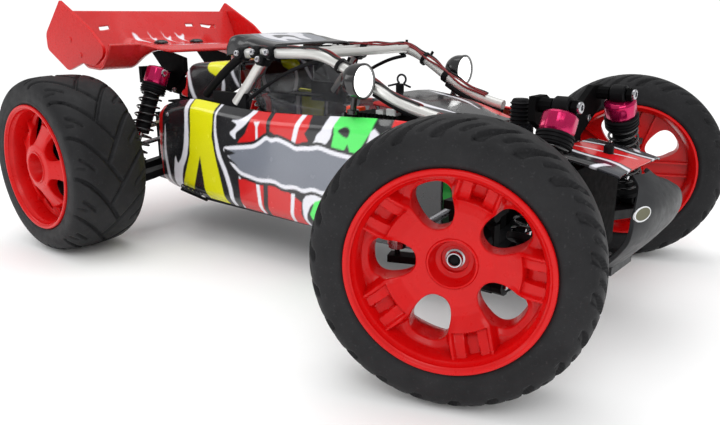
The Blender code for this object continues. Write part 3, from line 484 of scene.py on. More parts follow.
def tyre(end, side):
    """A closed ring whose outline goes over the sidewalls and is pushed in along the tread's grooves."""
    half, count, steps = HALF_WIDTH[end], TREAD_POINTS[end], TYRE_STEPS
    upper = fillet([
        (RIM_R - 1.5, half - 3.4), (RIM_R + 0.1, half - 1.5), (RIM_R + 1.0, half - 0.9),
        (RIM_R + 2.2, half - 0.35), (RIM_R + 3.2, half - 0.55), (45.5, half - 0.1), (49.6, half - 0.35),
        (52.6, half * 0.9), (54.9, half * 0.7), (55.75, half * 0.4), (TYRE_R, 0.0),
    ], 2.0, 4)
    outline = even(np.concatenate([upper, (upper * (1, -1))[::-1][1:]]), count)
    tangent = np.gradient(outline, axis=0)
    normal = np.stack([-tangent[:, 1], tangent[:, 0]], axis=1)
    normal /= np.linalg.norm(normal, axis=1)[:, None]
    normal *= np.sign(normal[count // 2, 0])
    turn = (np.arange(steps) * 2 * math.pi / steps)[:, None]
    run, r, t = np.broadcast_arrays(turn * TYRE_R, outline[:, 0], outline[:, 1] / half)
    deep = TREAD_DEPTH[end] * {"front": front_tread, "rear": rear_tread}[end](run, t, r)
    radius, height = np.moveaxis(outline - deep[..., None] * normal, 2, 0)
    points = np.stack([radius * np.cos(turn), radius * np.sin(turn), height], axis=2)
    faces = quads(steps, count, wrap_rows=True)
    for i in range(steps):
        after = (i + 1) % steps * count
        faces.append((i * count, i * count + count - 1, after + count - 1, after))
    corner = f"{end}_{hand(side)}"
    shape = Shape().add(points, faces, wheel_frame(end, side))
    piece(shape, f"{corner}_tyre_tread", "tyre", f"{corner}_wheel", [f"{corner}_tyre"], angle=60.0)


WINDOW_AT, WINDOW_REACH, WINDOW_HALF, WINDOW_POWER = 23.5, 9.3, 7.7, 2.5
DISH_IN, DISH_OUT = 10.1, 35.5
# Each wheel's star, as heights outboard of the tyre's middle by radius, with its hub's cup and its backs
STAR = {
    "front": {
        "spoke": ((10.1, 4.0), (17.0, 4.4), (21.0, 5.2), (25.0, 7.4), (30.0, 10.8), (35.5, 13.2)),
        "bowl": ((10.1, 4.0), (35.5, 6.4)), "ring": 4.0, "cup": 6.9,
        "back": ((10.1, -4.2), (35.5, -4.2)), "hub_back": -5.6,
    },
    "rear": {
        "spoke": ((10.1, 22.2), (14.0, 21.6), (20.0, 19.0), (28.0, 15.8), (35.5, 13.6)),
        "bowl": ((10.1, 22.2), (14.0, 21.4), (20.0, 18.0), (28.0, 13.8), (35.5, 11.4)),
        "ring": 22.3, "cup": 9.7,
        "back": ((10.1, 15.4), (14.0, 15.2), (20.0, 14.4), (28.0, 10.5), (35.5, 8.2)), "hub_back": 10.4,
    },
}


def window_radius(turn):
    """How far the window's edge is from its middle, for each direction. It is wider towards the tyre."""
    low, high = np.zeros_like(turn), np.full_like(turn, 15.0)
    for _ in range(30):
        mid = (low + high) / 2
        out, across = mid * np.cos(turn), mid * np.sin(turn)
        half = WINDOW_HALF + 0.17 * out
        within = np.abs(out / WINDOW_REACH) ** WINDOW_POWER + np.abs(across / half) ** WINDOW_POWER < 1
        low, high = np.where(within, mid, low), np.where(within, high, mid)
    return low


def star_height(spots, key, end):
    return np.interp(np.hypot(*spots.T), *zip(*STAR[end][key]))


def dish_height(spots, edge, end):
    """The star's front: spokes between lower bowls, with a shelf and a slot at each spoke's end."""
    r, turn = np.hypot(*spots.T), np.arctan2(spots[:, 1], spots[:, 0])
    part = 2 * math.pi / SPOKES
    across = np.abs(r * np.sin(turn - np.round(turn / part) * part))
    spoke, bowl = star_height(spots, "spoke", end), star_height(spots, "bowl", end)
    h = bowl + (spoke - bowl) * (1 - smooth((across - 8.0) / 2.2))
    h -= 1.7 * smooth((r - 26.4) / 0.8) * smooth((7.2 - across) / 0.7)
    h -= 3.4 * smooth((r - 27.4) / 0.7) * smooth((2.7 - across) / 0.6)
    h -= 1.2 * smooth((r - 19.0) / 9.0) * (1 - smooth(edge / 2.6))
    corner = np.clip(1 - edge / 0.7, 0.0, 1.0)
    return h - 0.7 * (1 - np.sqrt(1 - corner**2))


def dish_sector():
    """One fifth of the star: rings of (spots, distance from the window's edge), the window and the border."""
    half = math.pi / SPOKES
    outer, side, inner = 62, 44, 20
    arc = [(DISH_OUT, a) for a in np.linspace(-half, half, outer, endpoint=False)]
    arc += [(r, half) for r in np.linspace(DISH_OUT, DISH_IN, side, endpoint=False)]
    arc += [(DISH_IN, a) for a in np.linspace(half, -half, inner, endpoint=False)]
    arc += [(r, -half) for r in np.linspace(DISH_IN, DISH_OUT, side, endpoint=False)]
    border = np.array([(r * math.cos(a), r * math.sin(a)) for r, a in arc])
    away = border - (WINDOW_AT, 0.0)
    turn = np.arctan2(away[:, 1], away[:, 0])
    edge = window_radius(turn)
    window = np.stack([WINDOW_AT + edge * np.cos(turn), edge * np.sin(turn)], axis=1)
    length = np.linalg.norm(border - window, axis=1)
    gaps = [np.full(len(arc), s) for s in (0.0, 0.12, 0.3, 0.5, 0.75)]
    gaps += [0.75 + (length - 0.75) * share for share in np.linspace(0.0, 1.0, 26)[1:]]
    rings = [(window + (border - window) * (s / length)[:, None], s) for s in reversed(gaps)]
    return rings, window, border


def dish(end):
    """The whole star: front, window walls and back, turned and copied round."""
    shape = Shape()
    rings, window, border = dish_sector()
    for k in range(SPOKES):
        turn = 2 * math.pi * (k + 0.5) / SPOKES
        spin = np.array([[math.cos(turn), math.sin(turn)], [-math.sin(turn), math.cos(turn)]])
        rows = [np.column_stack([ring @ spin, dish_height(ring @ spin, gap, end)]) for ring, gap in rings]
        edge = rows[-1]
        back = star_height(edge[:, :2], "back", end)
        for share in (0.3, 0.65, 0.94):
            rows.append(np.column_stack([edge[:, :2], edge[:, 2] * (1 - share) + back * share]))
        for share in (0.015, 0.25, 0.5, 0.75, 1.0):
            spot = (window * (1 - share) + border * share) @ spin
            rows.append(np.column_stack([spot, star_height(spot, "back", end)]))
        shape.add(np.concatenate(rows), quads(len(rows), len(window), wrap_cols=True))
    return shape


def rim(end, side):
    """The rim and its star, with the axle and its nut, and the dark parts in the hub and behind the star."""
    half, star, corner, place = HALF_WIDTH[end], STAR[end], f"{end}_{hand(side)}", wheel_frame(end, side)
    top, low, base = star["ring"], star["back"][-1][1], star["hub_back"]
    floor = top - star["cup"]
    made = dish(end)
    shape = Shape().add(np.concatenate(made.points), made.faces, place)
    wall = RIM_R - 4.3
    shape.lathe([
        (wall, low), (wall, half - 4.6), (wall + 0.5, half - 3.8), (wall + 1.3, half - 2.6),
        (wall + 1.5, half - 1.5), (wall + 2.0, half - 1.2), (wall + 2.3, half - 0.5),
        (wall + 2.8, half - 0.1), (RIM_R - 0.8, half),
        (RIM_R - 0.3, half - 0.25), (RIM_R, half - 0.9), (RIM_R, half - 2.0), (37.8, half - 4.6),
        (37.2, half - 5.4), (37.2, 5.4 - half), (37.8, 4.6 - half), (RIM_R, 2.0 - half), (RIM_R, 0.9 - half),
        (RIM_R - 0.3, 0.25 - half), (RIM_R - 0.6, -half), (RIM_R - 1.3, -half), (RIM_R - 1.6, 0.3 - half),
        (wall + 1.9, 1.6 - half), (wall + 0.8, 4.6 - half), (wall, 8.0 - half), (wall, low),
    ], place, 160)
    shape.lathe([
        (0, base), (9.0, base), (9.6, base + 0.6), (10.3, base + 1.4), (10.3, top - 0.3), (10.1, top + 0.3),
        (9.7, top + 0.55), (9.2, top + 0.4), (8.9, top - 0.3), (7.9, floor + 2.4), (7.4, floor + 1.8),
        (5.9, floor + 1.6), (5.5, floor + 1.3), (5.3, floor), (0, floor),
    ], place, 96)
    if end == "front":
        for k in range(SPOKES):
            spoke = place @ Matrix.Rotation(2 * math.pi * k / SPOKES, 4, "Z")
            for across in (3.9, -3.9):
                shape.block((9.5, across - 0.55, base - 1.2), (wall + 0.3, across + 0.55, low + 0.4), spoke)
    piece(shape, f"{corner}_rim", "rim", f"{corner}_wheel", [f"{corner}_wheel_rim"], angle=42.0)

    hub = HUB_Y[end] - (HALF_TRACK[end] - half)
    axle = Shape().lathe([(0, hub - 5), (2.6, hub - 5), (3.0, hub - 4.6), (3.0, floor)], place, 32)
    nut = [(3.9, 0), (3.9, 0.3), (3.2, 0.5), (3.2, 2.2), (2.9, 2.7), (2.5, 2.7), (2.2, 2.3), (2.2, 0.2)]
    axle.lathe([(r, floor + h) for r, h in nut], place, 44)
    piece(axle, f"{corner}_axle_nut", "steel", f"{corner}_wheel")
    drive = Shape()
    drive.lathe([(3.1, hub + 10.6), (6.6, hub + 10.6), (7.0, hub + 11.1), (7.0, base + 0.5)], place, 48, 6)
    core = [(0, 0.2), (2.2, 0.2), (2.2, 1.5), (1.7, 2.1), (0.9, 2.4), (0, 2.5)]
    drive.lathe([(r, floor + h) for r, h in core], place, 32)
    if end == "rear":
        drive.lathe([(10.6, 12.0), (34.6, 6.0), (34.6, 7.0), (10.6, 13.0), (10.6, 12.0)], place, 96)
    piece(drive, f"{corner}_drive_hex", "black", f"{corner}_wheel", bevel=0.2)


# ---------------------------------------------------------------- shock absorbers and drive shafts
# How far ahead of the axle, then each upper eye's y and z and each lower eye's y and z
SHOCK = {"front": (12.5, 33.5, 108.0, 65.0, 46.81), "rear": (11.5, 42.0, 110.0, 70.0, 46.21)}
# How much nearer to the upper eye the cap, the collar and the coil start
SHOCK_LIFT = {"front": 0.0, "rear": 4.4}
COIL_R, COIL_WIRE_R, COIL_TURNS, COIL_STEPS = 7.2, 0.72, 9, 28


def ring_eye(shape, centre, radius):
    """A rounded ring about an axis along the car."""
    bore, half = 2.45, 3.8
    shape.lathe([
        (bore, -half), (bore, half), (bore + 0.5, half + 0.2), (radius - 0.6, half), (radius, half - 0.7),
        (radius, 0.7 - half), (radius - 0.6, -half), (bore + 0.5, -half - 0.2), (bore, -half),
    ], axis_frame(centre, (1, 0, 0)), 36)


def shock(end, side):
    """The damper's body with its bellows, the cap, the coil, the foot and the shaft."""
    corner = f"{end}_{hand(side)}"
    body, rod = f"{corner}_shock_body", f"{corner}_shock_rod"
    ahead, top_y, top_z, low_y, low_z = SHOCK[end]
    top = np.array([AXLE_X[end] + ahead, side * top_y, top_z])
    low = np.array([AXLE_X[end] + ahead, side * low_y, low_z])
    length = np.linalg.norm(low - top)
    down = (low - top) / length
    place, cup, up = axis_frame(top, down), length - 9.0, SHOCK_LIFT[end]
    damper = Shape()
    ring_eye(damper, top, 4.5)
    damper.lathe([(0, 3.4), (3.4, 3.4), (3.4, 6.0), (0, 6.0)], place, 24)
    collar = [(0, 12.8), (7.4, 12.8), (8.3, 13.1), (8.6, 13.5)]
    for d in (14.2, 15.9, 17.6):
        collar += [(8.6, d), (8.0, d + 0.3), (8.0, d + 0.75), (8.6, d + 1.05)]
    collar += [(8.6, 18.7), (8.0, 19.1), (5.6, 19.1)]
    for k in range(17):
        d = 19.6 + k * 1.3
        collar += [(5.45, d), (5.45, d + 0.55), (5.1, d + 0.75), (5.1, d + 1.1)]
    tail = [(5.3, 42.2), (4.9, 43.0), (2.4, 43.0), (2.3, 41.0), (0, 41.0)]
    damper.lathe([(r, d - up) for r, d in collar] + tail, place, 48)
    piece(damper, f"{corner}_damper", "black", body, [body])
    cap = [(0, 2.9), (4.6, 2.9), (6.9, 3.6), (7.9, 4.5), (8.1, 5.2)]
    lower = [(8.1, 11.3), (7.7, 12.2), (7.4, 12.9), (0, 12.9)]
    profile = [(r, d - 1.5 * up) for r, d in cap] + [(r, d - up) for r, d in lower]
    piece(Shape().lathe(profile, place, 60, 12), f"{corner}_damper_cap", "pink", body, bevel=0.25)

    start, stop = 19.9 - up, cup - 0.9
    across = np.array([1.0, 0.0, 0.0])
    other = np.cross(down, across)
    wire = []
    for k in range(COIL_TURNS * COIL_STEPS + 1):
        share = min(max((k / (COIL_TURNS * COIL_STEPS) - 0.04) / 0.92, 0.0), 1.0)
        spin = 2 * math.pi * k / COIL_STEPS
        ring = across * math.cos(spin) + other * math.sin(spin)
        wire.append(top + down * (start + (stop - start) * share) + COIL_R * ring)
    coil = Shape().pipe(wire, COIL_WIRE_R, 10)
    made = piece(coil, f"{corner}_coil", "gloss", body, [f"{corner}_spring"], angle=80.0)
    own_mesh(made)

    foot = Shape()
    seat = [
        (0, -0.2), (1.5, -0.2), (7.4, -0.2), (8.5, 0.1), (8.6, 0.6), (8.6, 2.3), (8.0, 3.0), (4.4, 3.2),
        (3.6, 3.8),
    ]
    foot.lathe([(r, cup + h) for r, h in seat] + [(3.4, length - 3.5), (0, length - 3.5)], place, 48)
    ring_eye(foot, low, 4.3)
    piece(foot, f"{corner}_damper_foot", "black", rod, [rod])
    shaft = Shape().lathe([(0, 37.2), (1.2, 37.2), (1.5, 37.5), (1.5, cup), (0, cup)], place, 24)
    piece(shaft, f"{corner}_damper_shaft", "chrome", rod)


def drive_shaft(side):
    """A slim shaft with a ball at each joint, free of the hub carrier's bore all the way to full bump."""
    shaft_r, inner_ball, outer_ball = 1.6, 4.2, 2.8
    inner = Vector((-WHEELBASE, side * 32.0, TYRE_R + 7.0))
    along = Vector((-WHEELBASE, side * HUB_Y["rear"], TYRE_R)) - inner
    stop = along.length - 10.5
    near, far = (
        [(r * math.cos(a), middle + r * math.sin(a)) for a in np.linspace(low, high, count)]
        for r, middle, low, high, count in (
            (inner_ball, 0.0, -math.pi / 2, 1.18, 13), (outer_ball, stop, -0.96, math.pi / 2, 10),
        )
    )
    neck = [(shaft_r, 5.6), (shaft_r, stop - 4.4)]
    profile = [(0, -inner_ball), *near[1:], *neck, *far[:-1], (0, stop + outer_ball)]
    shape = Shape().lathe(profile, axis_frame(inner, along), 32)
    shape.pipe([inner + Vector((0, 0, z)) for z in (-5.0, 0.0, 5.0)], 0.9, 14)
    name = f"rear_{hand(side)}_drive_shaft"
    piece(shape, f"rear_{hand(side)}_dog_bone", "steel", name, [name])


# ---------------------------------------------------------------- printed shell
INK = {name: linear(rgb) for name, rgb in {
    "black": (28, 28, 31), "red": (212, 20, 22), "yellow": (232, 230, 8), "green": (84, 240, 104),
    "white": (236, 236, 244), "grey": (122, 127, 138), "dark": (60, 62, 68), "wing": (204, 30, 30),
}.items()}
PANEL_WALL = 1.2


def soften(outline, times):
    """Rounds an outline's corners by cutting them, and cutting again."""
    p = np.asarray(outline, float)
    for _ in range(times):
        after = np.roll(p, -1, 0)
        p = np.stack([0.8 * p + 0.2 * after, 0.2 * p + 0.8 * after], axis=1).reshape(-1, 2)
    return p


def grow(outline, by):
    """The outline moved outwards by a distance."""
    p = np.asarray(outline, float)
    along = np.roll(p, -1, 0) - np.roll(p, 1, 0)
    out = np.stack([along[:, 1], -along[:, 0]], axis=1)
    out /= np.linalg.norm(out, axis=1)[:, None] + 1e-9
    area = np.sum(p[:, 0] * np.roll(p[:, 1], -1) - np.roll(p[:, 0], -1) * p[:, 1])
    return p + out * by * np.sign(area)


def inside(spots, outline):
    """Which of the spots lie inside the outline."""
    hit = np.zeros(len(spots), bool)
    near = ((spots >= outline.min(0)) & (spots <= outline.max(0))).all(1)
    x, y = spots[near].T
    found = np.zeros(len(x), bool)
    for (x0, y0), (x1, y1) in zip(outline, np.roll(outline, -1, 0)):
        if y0 != y1:
            found ^= ((y0 > y) != (y1 > y)) & (x < (x1 - x0) * (y - y0) / (y1 - y0) + x0)
    hit[near] = found
    return hit


def paint(spots, cell, ground, prints):
    """The print's colour at each spot, averaged over nine samples of its cell."""
    total = np.zeros((len(spots), 3))
    outlines = [(INK[ink], soften(outline, times)) for ink, outline, times in prints]
    for dx in (-cell / 3, 0.0, cell / 3):
        for dy in (-cell / 3, 0.0, cell / 3):
            colour = np.tile(INK[ground], (len(spots), 1))
            for ink, outline in outlines:
                colour[inside(spots + (dx, dy), outline)] = ink
            total += colour
    return total / 9


# Prints as (ink, outline, how often its corners are cut), later ones on top. The first coordinate is the
# distance ahead of the front axle, and the second is the height on the sides and the cover, or else +Y.
BANNER = [
    (-199, 67), (-190, 68), (-180, 69.5), (-171, 71), (-165, 74), (-160, 77.5), (-156, 76), (-151, 77.5),
    (-142, 75.5), (-136, 73.5), (-130, 74.5), (-124, 75), (-118, 76.5), (-108, 74.5), (-96, 73.5), (-84, 72),
    (-72, 71), (-84, 66), (-76, 60), (-92, 58), (-103, 57), (-115, 53), (-123, 54.5), (-131, 52),
    (-137, 53.5),
    (-147, 52), (-155, 54.5), (-168, 53), (-175, 54), (-184, 55), (-190, 59), (-194, 63),
]
SIDE_PRINT = [
    ("red", [(-285, 100), (-264, 100), (-266, 74), (-269, 53), (-270, 30), (-285, 30)], 0),
    ("white", [
        (-262, 80), (-264.5, 66), (-265.5, 55), (-264, 40), (-258, 28), (-260, 40), (-262.5, 55), (-262, 66),
    ], 2),
    ("white", [
        (-238, 99), (-233, 99), (-235, 84), (-235, 68), (-238, 58), (-245, 48), (-248, 30), (-255, 30),
        (-256, 44), (-252, 58), (-250, 51), (-245, 56), (-241, 64), (-239, 78),
    ], 1),
    ("yellow", [
        (-232, 102), (-205, 102), (-208.5, 92), (-211, 74), (-206, 52), (-200, 26), (-221, 26), (-224, 60),
        (-235, 34), (-249, 30), (-242, 46), (-235, 60), (-233, 76),
    ], 0),
    ("white", [
        (-204, 102), (-200, 102), (-205.5, 90), (-206.5, 78), (-203, 64), (-196.5, 52), (-193, 40),
        (-193, 26), (-196, 26), (-197, 40), (-200.5, 51), (-207, 64), (-209, 80),
    ], 1),
    ("white", [(-190, 60), (-185.5, 49), (-185, 38), (-189, 26), (-186.5, 26), (-183.5, 38), (-184, 50)], 1),
    ("red", [
        (-170, 100), (-133, 100), (-127, 94), (-125.5, 88), (-129, 84), (-126, 80), (-131, 79), (-136, 76),
        (-141, 78), (-147, 77), (-151, 80), (-156, 82.5), (-160, 82), (-165, 77), (-170, 73), (-188, 70.5),
        (-184, 75), (-179, 79), (-175, 86),
    ], 0),
    ("black", [(-160.5, 100), (-156.5, 100), (-157, 82), (-160, 80)], 0),
    ("white", [(-133, 100), (-129, 100), (-136.5, 77), (-140, 76.5)], 0),
    ("white", [(-171, 87), (-166, 87), (-167.6, 84), (-167.6, 76), (-169.6, 76), (-169.4, 84)], 0),
    ("white", [
        (-174, 97), (-177, 90.5), (-183, 87), (-192, 86), (-186, 84), (-189, 81), (-194, 78), (-187.5, 74),
        (-188, 78.5), (-182, 82), (-177, 85.5), (-171, 93),
    ], 1),
    ("white", [
        (-113, 99), (-103, 99), (-108, 90), (-109, 84), (-113, 79.5), (-119, 78.5), (-128, 77), (-121, 80.5),
        (-120, 84), (-115, 88),
    ], 1),
    ("green", [
        (-105, 100), (-82, 100), (-82, 90), (-89, 80), (-95, 75), (-97.5, 81.5), (-101, 76), (-109, 78),
        (-107, 86), (-107.5, 91),
    ], 0),
    ("black", [(-105, 88), (-99, 91), (-95.5, 89), (-97.5, 84.5), (-101, 85.5)], 2),
    ("white", [(-81.5, 92), (-76, 88), (-80, 85), (-86, 80)], 1),
    ("red", [(-72, 99), (-52, 98), (-48, 88), (-58, 80), (-66, 84), (-74, 79), (-70, 90)], 0),
    ("white", [(-63, 99), (-59, 99), (-62, 82), (-65, 84)], 0),
    ("red", [
        (-187, 50), (-175, 51), (-147, 50), (-137, 46), (-132.5, 44), (-133, 37), (-129, 26), (-186, 26),
    ], 0),
    ("black", [(-164, 52), (-160, 52), (-162, 26), (-166, 26)], 0),
    ("white", [(-171, 52), (-168, 52), (-166, 26), (-169, 26)], 0),
    ("white", [(-140.5, 48), (-137.5, 48), (-141, 26), (-143.5, 26)], 0),
    ("white", [
        (-132, 45), (-127, 50), (-117, 52), (-107, 49), (-117, 47), (-125, 44), (-129, 36), (-128, 28),
        (-131, 31),
    ], 1),
    ("green", [
        (-122, 46), (-114, 49), (-99, 51), (-92, 44), (-98, 38), (-92, 26), (-128, 26), (-123, 33),
        (-126, 38),
    ], 0),
    ("black", [(-115, 42), (-108, 44), (-105, 40), (-111, 37)], 1),
    ("red", [(-80, 52), (-60, 54), (-44, 48), (-52, 40), (-46, 30), (-76, 26), (-70, 38), (-84, 44)], 0),
    ("black", grow(BANNER, 4.2), 1),
    ("white", grow(BANNER, 2.4), 1),
    ("grey", BANNER, 1),
    ("black", [(-199, 68), (-188, 66), (-196, 63.5), (-186, 58), (-198, 61)], 0),
]
COVER_PRINT = [
    ("red", [(-268, 125), (-259, 125), (-257, 108), (-259, 90), (-270, 90)], 0),
    ("white", [
        (-259, 125), (-256.5, 125), (-254.5, 112), (-252, 100), (-246, 90), (-250, 90), (-256, 100),
        (-257.5, 112),
    ], 1),
    ("white", [
        (-226, 90), (-222, 98), (-220, 108), (-224, 112), (-220, 113), (-217, 105), (-219, 96), (-222, 90),
    ], 2),
    ("yellow", [(-233, 121), (-217, 122), (-215, 113), (-224, 109), (-235, 113)], 1),
    ("white", [(-214, 122), (-211, 122), (-208, 112), (-204, 106), (-203, 103), (-207, 106), (-211, 112)], 1),
]
ROOF_PRINT = [
    ("grey", [
        (-208, -22), (-188, -27), (-172, -22), (-171, 0), (-176, 20), (-190, 27), (-206, 22), (-202, 2),
    ], 2),
    ("white", [
        (-205, -16), (-190, -22), (-176, -15), (-186, -10), (-176, -2), (-189, 0), (-178, 9), (-191, 12),
        (-199, 20), (-204, 13), (-198, 2),
    ], 1),
    ("dark", [(-197, -12), (-186, -14), (-192, -4), (-184, 3), (-195, 5)], 1),
]
WING_PRINT = [
    ("white", [(-330, -28), (-325, -27), (-324, -22), (-319, -17), (-323, -19), (-326, -23), (-329, -25)], 1),
    ("white", [(-331, -15), (-326, -13), (-318, -6), (-324, -10), (-327, -9), (-326, -12)], 1),
    ("white", [(-331, -3), (-326, -1), (-318, 6), (-324, 2), (-328, 5), (-326, 0)], 1),
    ("white", [(-330, 9), (-326, 11), (-318, 18), (-324, 14), (-329, 18), (-327, 12)], 1),
    ("grey", [
        (-298, -26), (-293, -22), (-291, -8), (-294, 4), (-291, 18), (-295, 27), (-298, 14), (-295, 0),
        (-297, -12),
    ], 1),
    ("white", [
        (-288, -24), (-284, -12), (-287, 0), (-284, 12), (-288, 24), (-290, 12), (-289, 0), (-290, -12),
    ], 1),
]


def both_sides(prints):
    """The prints, and then the same ones on the car's other side."""
    return prints + [(ink, [(x, -y) for x, y in outline], times) for ink, outline, times in prints]


DECK_PRINT = both_sides([
    ("red", [(-100, -30), (-84, -24), (-70, -26), (-52, -16), (-42, -20), (-42, -31), (-100, -31)], 1),
    ("white", [(-98, -21), (-84, -18), (-70, -20), (-52, -10), (-70, -16), (-84, -14)], 1),
])
NOSE_PRINT = [
    ("red", [(2, -8), (16, -12), (30, -10), (40, -14), (40, 14), (30, 10), (16, 12), (2, 8)], 1),
    *both_sides([
        ("white", [
            (2, -12), (16, -16), (30, -14), (40, -19), (40, -16), (30, -11.5), (16, -13.5), (2, -9),
        ], 1),
    ]),
    ("white", [(6, -3), (20, -1), (34, 5), (34, 6.2), (20, 0.6), (6, -1.6)], 1),
    *both_sides([
        ("white", [(24, -27), (27, -27), (31, -19), (28, -19)], 0),
        ("dark", [(28, -27), (40, -27), (40, -20), (31, -20)], 0),
    ]),
]


def film(stations, cell, radius_across, radius_along):
    """A fine grid over sections of points, with each fold rounded: its points by row, and its faces."""
    widest = max(np.linalg.norm(np.diff(fillet(s, radius_across), axis=0), axis=1).sum() for s in stations)
    cols = int(widest / cell) + 1
    sections = [even(fillet(s, radius_across), cols) for s in stations]
    rows = int(max(np.linalg.norm(np.array(sections[0]) - np.array(sections[-1]), axis=1)) / cell) + 1
    strips = [even(fillet([s[k] for s in sections], radius_along), rows) for k in range(cols)]
    return np.stack(strips, axis=1).reshape(-1, 3), quads(rows, cols)


def shell_panel(name, stations, cell, node, prints, across, outward=(0, 0, 1), fold=3.0, along=14.0):
    """One printed panel. across says which coordinate, with the distance ahead, the print is laid out in."""
    flat, faces = film(stations, cell, fold, along)
    ink = paint(flat[:, [0, across]], cell, "black", prints)
    shape = Shape().add(flat, faces)
    piece(
        shape, name, "print", replaces=[node], colours=ink, wall=PANEL_WALL, outward=outward, angle=50.0,
    )


# How far ahead of the front axle, the foot's height, the top's height and how far the panel tucks in
SIDE_LINE = (
    (-270.6, 35, 88, -2.0), (-262, 33.5, 91, -1.0), (-236, 31.5, 96.5, 0.0), (-203, 30.5, 94, 0.0),
    (-166, 30, 92.5, 0.0), (-125, 29.5, 94, 0.0), (-107, 29.5, 95, 0.0), (-84, 29.5, 96, -1.0),
    (-62, 30, 96, -2.5), (-40, 33, 94, -5.0),
)
SIDE_Y = 53.0


def side_panel(side):
    stations = []
    for ahead, low, high, tuck in SIDE_LINE:
        y = SIDE_Y + tuck
        section = [(y - 5, low), (y - 1, low + 5), (y, (low + high) / 2), (y - 1, high - 5), (y - 6, high)]
        stations.append([(ahead, side * v, z) for v, z in section])
    name = hand(side)
    shell_panel(f"printed_side_{name}", stations, 0.72, f"side_panel_{name}", SIDE_PRINT, 2, (0, side, 0))


def walled(line, half):
    """Sections that are flat on top with upright side walls, from (ahead, top, base) stations."""
    stations = []
    for ahead, z, base in line:
        left = [(half, base), (half, z - 2), (half - 2, z)]
        section = [(-y, h) for y, h in left] + [(0, z + 0.5)] + left[::-1]
        stations.append([(ahead, y, h) for y, h in section])
    return stations


def crowned(line, half, drop):
    """Sections that are flat in the middle and turn down at both edges, from (ahead, top) stations."""
    stations = []
    for ahead, z in line:
        left = [(half, z - drop), (half * 0.9, z - drop * 0.25), (half * 0.4, z)]
        section = [(-y, h) for y, h in left] + left[::-1]
        stations.append([(ahead, y, h) for y, h in section])
    return stations


def shell():
    for side in SIDES:
        side_panel(side)
    roof = [
        (-213, 131, 123), (-211, 135, 123), (-204, 136.5, 124.5), (-193, 134.5, 129), (-180, 132.2, 129),
        (-170, 131, 129),
    ]
    shell_panel("printed_roof", walled(roof, 35.0), 0.8, "roof_panel", ROOF_PRINT, 1, along=3.0)
    cover = [(-265, 99, 95), (-260, 112, 94), (-253, 117, 93), (-226, 119, 93), (-203, 120, 104)]
    shell_panel("printed_rear_cover", walled(cover, 34.0), 0.8, "rear_cover", COVER_PRINT, 2, along=6.0)
    deck = [(-98, 105), (-84, 103.5), (-70, 101), (-58, 98), (-40, 92)]
    shell_panel("printed_front_deck", crowned(deck, 30.0, 4.0), 0.8, "front_deck", DECK_PRINT, 1)
    nose = [(4, 86), (16, 84.5), (28, 82.5), (38, 80)]
    shell_panel("printed_nose", crowned(nose, 27.0, 1.2), 0.7, "nose_panel", NOSE_PRINT, 1)


# ---------------------------------------------------------------- wing
WING_Z, WING_END, WING_WALL = 128.0, 73.0, 1.8
WING_COLS, WING_ROWS = 183, 105
WING_SLOTS = ((-51.0, -43.0), (22.5, 30.5), (38.0, 54.5))
# How far ahead of the front axle, and the lift over WING_Z in the middle and near the ends
WING_CHORD = (
    (-274, -3, 2), (-284, 0, -6), (-300, 0, -14), (-318, 0, -13), (-326, 2.5, -7), (-333, 13, 7),
    (-340.5, 23.6, 23.6),
)
END_PLATE = (
    (-343.5, 158.5), (-368, 136), (-368, 125), (-341, 110.5), (-331, 113.5), (-321, 116.5), (-304, 115.5),
    (-293, 122), (-292, 128), (-309, 141),
)


def wing_blade():
    """The blade on a fine grid, with its slots left open. Its front edge is further ahead in the middle."""
    y = np.linspace(-WING_END + 1, WING_END - 1, WING_COLS)
    ease = smooth((np.abs(y) - 30.0) / 20.0)
    strips = []
    for across, out in zip(y, ease):
        strip = []
        for ahead, middle, outer in WING_CHORD:
            shift = -14.0 * out * max(ahead + 300, 0) / 26
            strip.append((ahead + shift, across, WING_Z + middle + (outer - middle) * out))
        strips.append(even(fillet(strip, 3.0), WING_ROWS))
    grid = np.stack(strips, axis=1)
    keep = np.ones((WING_ROWS, WING_COLS), bool)
    lift = grid[:, WING_COLS // 2, 2] - WING_Z
    band = (lift > 11.6) & (lift < 14.4)
    for low, high in WING_SLOTS:
        keep[np.ix_(band, (y >= low) & (y < high))] = False
    flat = grid.reshape(-1, 3)
    shape = Shape().add(flat, quads(WING_ROWS, WING_COLS, keep=keep))
    ink = paint(flat[:, :2], 0.8, "wing", WING_PRINT)
    piece(
        shape, "wing_blade", "wing_print", replaces=["rear_wing"], colours=ink, wall=WING_WALL,
        outward=(0, 0, 1), angle=40.0,
    )


def wing():
    """The blade between two end plates, with a button over each mount."""
    wing_blade()
    plates, buttons = Shape(), Shape()
    outline = fillet([*END_PLATE, END_PLATE[0]], 3.0)[:-1]
    cap = [(0, -1.6), (1.7, -1.6), (2.0, -1.2), (2.0, 1.2), (1.7, 1.6), (0, 1.6)]
    button = [
        (0, -4.0), (2.6, -4.0), (2.6, 0.2), (4.6, 0.2), (5.2, 0.5), (5.2, 1.3), (4.4, 2.2), (2.6, 2.8),
        (2.2, 2.2), (0, 2.2),
    ]
    for side in reversed(SIDES):
        plates.slab(outline, -1.1, 1.1, frame_of((0, side * WING_END, 0), (1, 0, 0), (0, 0, 1), (0, 1, 0)))
        for x, z in ((-322, 122), (-334, 132)):
            plates.lathe(cap, axis_frame((x, side * WING_END, z), (0, 1, 0)), 24)
        buttons.lathe(button, axis_frame((-311, side * 16.0, WING_Z), (0, 0, 1)), 40)
    piece(plates, "wing_end_plates", "wing", bevel=0.5)
    piece(buttons, "wing_buttons", "gloss")


